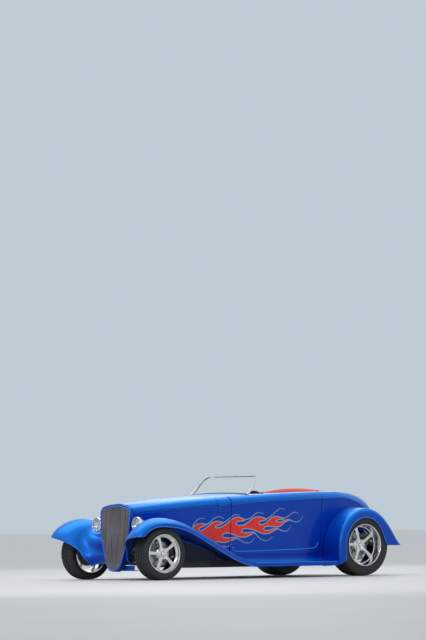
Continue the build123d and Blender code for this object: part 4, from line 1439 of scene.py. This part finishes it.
def laidGrid(name, size, cast, look, body):
    # a grid between two corners in x and z, or x and y, moved onto the surface that cast finds
    piece = gridPiece(name, *size["cuts"])
    low, high = size["low"], size["high"]
    gone = set()
    for point in piece.data.vertices:
        first = low[0] + (point.co.x + 0.5) * (high[0] - low[0])
        second = low[1] + (point.co.y + 0.5) * (high[1] - low[1])
        spot = cast(first, second)
        if spot is None:
            gone.add(point.index)
        else:
            point.co = spot
    editOn(piece)
    bpy.ops.mesh.select_mode(type="VERT")
    cage = bmesh.from_edit_mesh(piece.data)
    for point in cage.verts:
        point.select_set(point.index in gone)
    bmesh.update_edit_mesh(piece.data)
    bpy.ops.mesh.delete(type="VERT")
    editOff()
    modify(piece, "SOLIDIFY", thickness=size["thick"], offset=0)
    smooth(piece, 50)
    return fit(piece, look, body)


def makeTrim():
    card, carpet = trimSizes["card"], trimSizes["carpet"]
    for side, sign in (("left", 1), ("right", -1)):
        def onDoor(x, z):
            hit = hitFrom("door_" + side, (x, 0, z), (0, sign, 0))
            if not hit or abs(hit[0].y) < card["inner"]:
                return None
            pleat = card["pleat"] * abs(math.sin(math.pi * x / card["pitch"])) ** 0.5
            return hit[0] - Vector((0, sign * (card["lift"] + pleat), 0))
        laidGrid("doorCard" + side.title(), card, onDoor, "redLeather", "door_" + side)

    def onFloor(x, y):
        hit = hitFrom("floor_pan", (x, y, carpet["above"]), (0, 0, -1))
        if not hit or hit[1].z < carpet["flat"]:
            return None
        return hit[0] + Vector((0, 0, carpet["lift"]))
    laidGrid("carpetFront", carpet, onFloor, "carpet", "body")


makeSteeringWheel()
makeDials()
makeFittings()
makeSeamFill()
makeTrim()
print("cabin and fittings ready")


def paintedStrip(strip, axis, thick):
    # thickens a strip inwards, paints it and makes the one on the other side
    faceTowards(strip, axis, 1)
    modify(strip, "SOLIDIFY", thickness=thick, offset=-1)
    smooth(strip, 50)
    fit(strip, "bluePaint", "body")
    bothSides(strip, "bluePaint", "body")


# a strip on the cowl's edge that narrows the gap in front of each door, in the body's paint
doorEdge = {"front": 0.4585, "door": 0.438, "back": 0.4477, "wide": 0.009, "middle": 0.6, "steps": 70,
            "from": -36, "span": 110, "outside": 1.4, "nearest": 0.035, "sunk": 0.0003, "thick": 0.004}


def makeDoorEdge():
    size = doorEdge
    middle = Vector((0, 0, size["middle"]))
    rows = []
    for step in range(size["steps"] + 1):
        turn = math.radians(size["from"] + size["span"] * step / size["steps"])
        out = Vector((0, math.cos(turn), math.sin(turn)))
        start = middle + out * size["outside"]
        ahead = [hitFrom(node, start + Vector((size["front"], 0, 0)), -out) for node in ("cowl", "sills")]
        ahead = [hit[0] for hit in ahead if hit]
        behind = hitFrom("door_left", start + Vector((size["door"], 0, 0)), -out)
        if ahead and behind:
            spot = max(ahead, key=lambda p: (p - middle).dot(out))
            if (spot - behind[0]).length < size["nearest"]:
                rows.append(spot - out * size["sunk"])
    strip = gridPiece("doorEdgeLeft", 1, len(rows) - 1)
    for point in strip.data.vertices:
        row = rows[round((point.co.y + 0.5) * (len(rows) - 1))]
        point.co = (size["back"] + size["wide"] * (point.co.x + 0.5), row.y, row.z)
    paintedStrip(strip, 1, size["thick"])


# the apron between the running board and the body
apronSizes = {"cuts": (48, 6), "start": -0.924, "long": 1.22, "board": (0.64, 0.1765), "turn": (0.002, 0.178),
              "wall": (0.0012, 0.222), "plain": 0.585, "thick": 0.003}


def makeBoardApron():
    size = apronSizes
    strip = gridPiece("boardApronLeft", *size["cuts"])
    for point in strip.data.vertices:
        x = size["start"] + size["long"] * (point.co.x + 0.5)
        share = point.co.y + 0.5
        side = (x, 1.6, size["wall"][1])
        hits = [hitFrom(node, side, (0, -1, 0)) for node in ("sills", "rear_body", "cowl")]
        wall = max([hit[0].y for hit in hits if hit] or [size["plain"]])
        weights = ((1 - share) ** 2, 2 * share * (1 - share), share ** 2)
        across = (size["board"][0], wall + size["turn"][0], wall + size["wall"][0])
        high = (size["board"][1], size["turn"][1], size["wall"][1])
        point.co = (x, sum(w * y for w, y in zip(weights, across)), sum(w * z for w, z in zip(weights, high)))
    paintedStrip(strip, 2, size["thick"])


# gear lever and pedals
controls = {
    "leverX": 0.08, "leverHigh": 0.2, "leverTop": 0.5, "leverRadius": 0.0055, "bootTop": 0.03,
    "boot": [(-0.004, 0.034), (0.006, 0.032), (0.012, 0.024), (0.018, 0.022), (0.024, 0.016), (0.03, 0.015),
             (0.036, 0.009), (0.04, 0.0004)],
    "knob": [(-0.02, 0.0004), (-0.02, 0.008), (-0.015, 0.012), (-0.006, 0.019), (0.004, 0.0215),
             (0.013, 0.0185),
             (0.0195, 0.01), (0.0215, 0.0004)],
    "pads": (("brakePedal", 0.36, 0.38, 0.085, 0.055), ("gasPedal", 0.25, 0.33, 0.05, 0.11)),
    "padX": 0.5, "padThick": 0.012, "padLean": 28,
    "ribs": 4, "ribIn": 0.01, "ribFront": -0.0062, "ribRadius": 0.0022,
    "arm": [(0.505, 0), (0.54, 0.05), (0.575, 0.14), (0.6, 0.26)], "armRadius": 0.006,
}


def makePedal(name, y, z, wide, tall):
    size = controls
    bpy.ops.mesh.primitive_cube_add(size=1, location=(0, 0, 0))
    pad = named(name)
    pad.scale = (size["padThick"], wide, tall)
    place(pad)
    modify(pad, "BEVEL", width=0.005, segments=3)
    half = wide / 2 - size["ribIn"]
    ribs = []
    for step in range(size["ribs"]):
        high = (step - 1.5) * tall / 5
        ends = [(size["ribFront"], -half, high), (size["ribFront"], half, high)]
        ribs.append(curveMesh(name + "Rib" + str(step), [ends], False, size["ribRadius"], 1))
    pad = joined(name, pad, *ribs)
    putAt(pad, (size["padX"], y, z), (0, math.radians(size["padLean"]), 0))
    smooth(pad, 40)
    fit(pad, "blackTrim", "body")
    rodPart(name + "Arm", [(x, y, z + rise) for x, rise in size["arm"]], size["armRadius"], "steel", 2)


def makeControls():
    size = controls
    x = size["leverX"]
    floor = hitFrom("floor_pan", (x, 0, 0.62), (0, 0, -1)) or hitFrom("gearbox", (x, 0, 0.62), (0, 0, -1))
    foot = floor[0].z
    top = min(foot + size["leverHigh"], size["leverTop"])
    start = foot + size["bootTop"]
    spunPart("leverBoot", size["boot"], 32, (x, 0, foot), (0, math.radians(-90), 0), "blackTrim", 50)
    rodPart("gearLever", [(x, 0, start), (x - 0.005, 0, start + (top - foot) * 0.4), (x - 0.025, 0, top)],
            size["leverRadius"], "chrome", taper=(1.2, 0.8))
    held = (x - 0.028, 0, top + 0.008)
    spunPart("gearKnob", size["knob"], 32, held, (0, math.radians(-80), 0), "blackTrim", 50)
    for pad in size["pads"]:
        makePedal(*pad)


makeDoorEdge()
makeBoardApron()
makeControls()
print("door edges and controls ready")


# camera, floor and light
view = {"place": (29.39, 37.13, 0.724), "aim": (0.0, 0.0, 0.53), "focal": 4130, "high": 640, "wide": 426,
        "carX": 227, "carY": 531, "roll": 0.59, "sensor": 36, "reach": 400}
lamps = {
    "topSoft": {"spot": (0, -2, 6.5), "aim": (0, 0, 0), "size": (9, 5), "power": 150, "colour": (1, 1, 1)},
    "keySoft": {"spot": (7, 6, 5), "aim": (0, 0, 0.5), "size": (4, 3), "power": 120,
                "colour": (1, 0.98, 0.95)},
    "fillSoft": {"spot": (-6, -7, 4), "aim": (0, 0, 0.5), "size": (4, 3), "power": 60,
                 "colour": (0.95, 0.97, 1)},
}
studio = {"radius": 120, "sunk": -0.0005, "dark": (0.7, 0.69, 0.67, 1), "pale": (0.78, 0.77, 0.75, 1),
          "cloud": 0.6, "rough": 0.55, "light": (0.78, 0.84, 0.9, 1), "strength": 0.8,
          "backdrop": (0.52, 0.6, 0.66, 1)}


def makeCamera():
    data = bpy.data.cameras.new("camera")
    camera = bpy.data.objects.new("camera", data)
    bpy.context.scene.collection.objects.link(camera)
    data.sensor_width = view["sensor"]
    data.lens = view["focal"] * view["sensor"] / view["high"]
    data.clip_end = view["reach"]
    camera.location = view["place"]
    towards = (Vector(view["aim"]) - Vector(view["place"])).normalized()
    turn = towards.to_track_quat("-Z", "Y").to_euler()
    right = (view["carX"] - view["wide"] / 2) / view["focal"]
    down = (view["carY"] - view["high"] / 2) / view["focal"]
    camera.rotation_euler = (turn.x + down, 0, turn.z + right)
    camera.rotation_euler.rotate_axis("Z", math.radians(-view["roll"]))
    bpy.context.scene.camera = camera


def makeLight(name, size):
    data = bpy.data.lights.new(name, "AREA")
    data.shape = "RECTANGLE"
    data.size, data.size_y = size["size"]
    data.energy = size["power"]
    data.color = size["colour"]
    lamp = bpy.data.objects.new(name, data)
    bpy.context.scene.collection.objects.link(lamp)
    lamp.location = size["spot"]
    lamp.rotation_euler = (Vector(size["aim"]) - Vector(size["spot"])).to_track_quat("-Z", "Y").to_euler()


def makeFloor():
    bpy.ops.mesh.primitive_circle_add(vertices=96, radius=studio["radius"], fill_type="NGON",
                                      location=(0, 0, studio["sunk"]))
    floor = named("studioFloor")
    material, tree, shader = nodeTree("paleFloor")
    spot = addNode(tree, "ShaderNodeTexCoord")
    cloud = addNode(tree, "ShaderNodeTexNoise")
    cloud.inputs["Scale"].default_value = studio["cloud"]
    ramp = addNode(tree, "ShaderNodeMix", data_type="RGBA")
    ramp.inputs["A"].default_value = studio["dark"]
    ramp.inputs["B"].default_value = studio["pale"]
    wire(tree, spot, "Object", cloud, "Vector")
    wire(tree, cloud, "Fac", ramp, "Factor")
    wire(tree, ramp, "Result", shader, "Base Color")
    shader.inputs["Roughness"].default_value = studio["rough"]
    floor.data.materials.append(material)


def makeWorld():
    # one colour lights the car, another is seen behind it
    world = bpy.data.worlds.new("studio")
    bpy.context.scene.world = world
    world.use_nodes = True
    tree = world.node_tree
    back = tree.nodes["Background"]
    back.inputs["Color"].default_value = studio["light"]
    back.inputs["Strength"].default_value = studio["strength"]
    seen = addNode(tree, "ShaderNodeBackground")
    seen.inputs["Color"].default_value = studio["backdrop"]
    seen.inputs["Strength"].default_value = 1
    path = addNode(tree, "ShaderNodeLightPath")
    mix = addNode(tree, "ShaderNodeMixShader")
    straight = addNode(tree, "ShaderNodeMath", operation="ADD", use_clamp=True)
    wire(tree, path, "Is Camera Ray", straight, 0)
    wire(tree, path, "Is Transmission Ray", straight, 1)
    wire(tree, straight, 0, mix, 0)
    wire(tree, back, 0, mix, 1)
    wire(tree, seen, 0, mix, 2)
    wire(tree, mix, 0, tree.nodes["World Output"], "Surface")


makeCamera()
makeFloor()
makeWorld()
for name, size in lamps.items():
    makeLight(name, size)
bpy.context.scene.view_settings.view_transform = "Standard"
print("camera, floor and light ready")
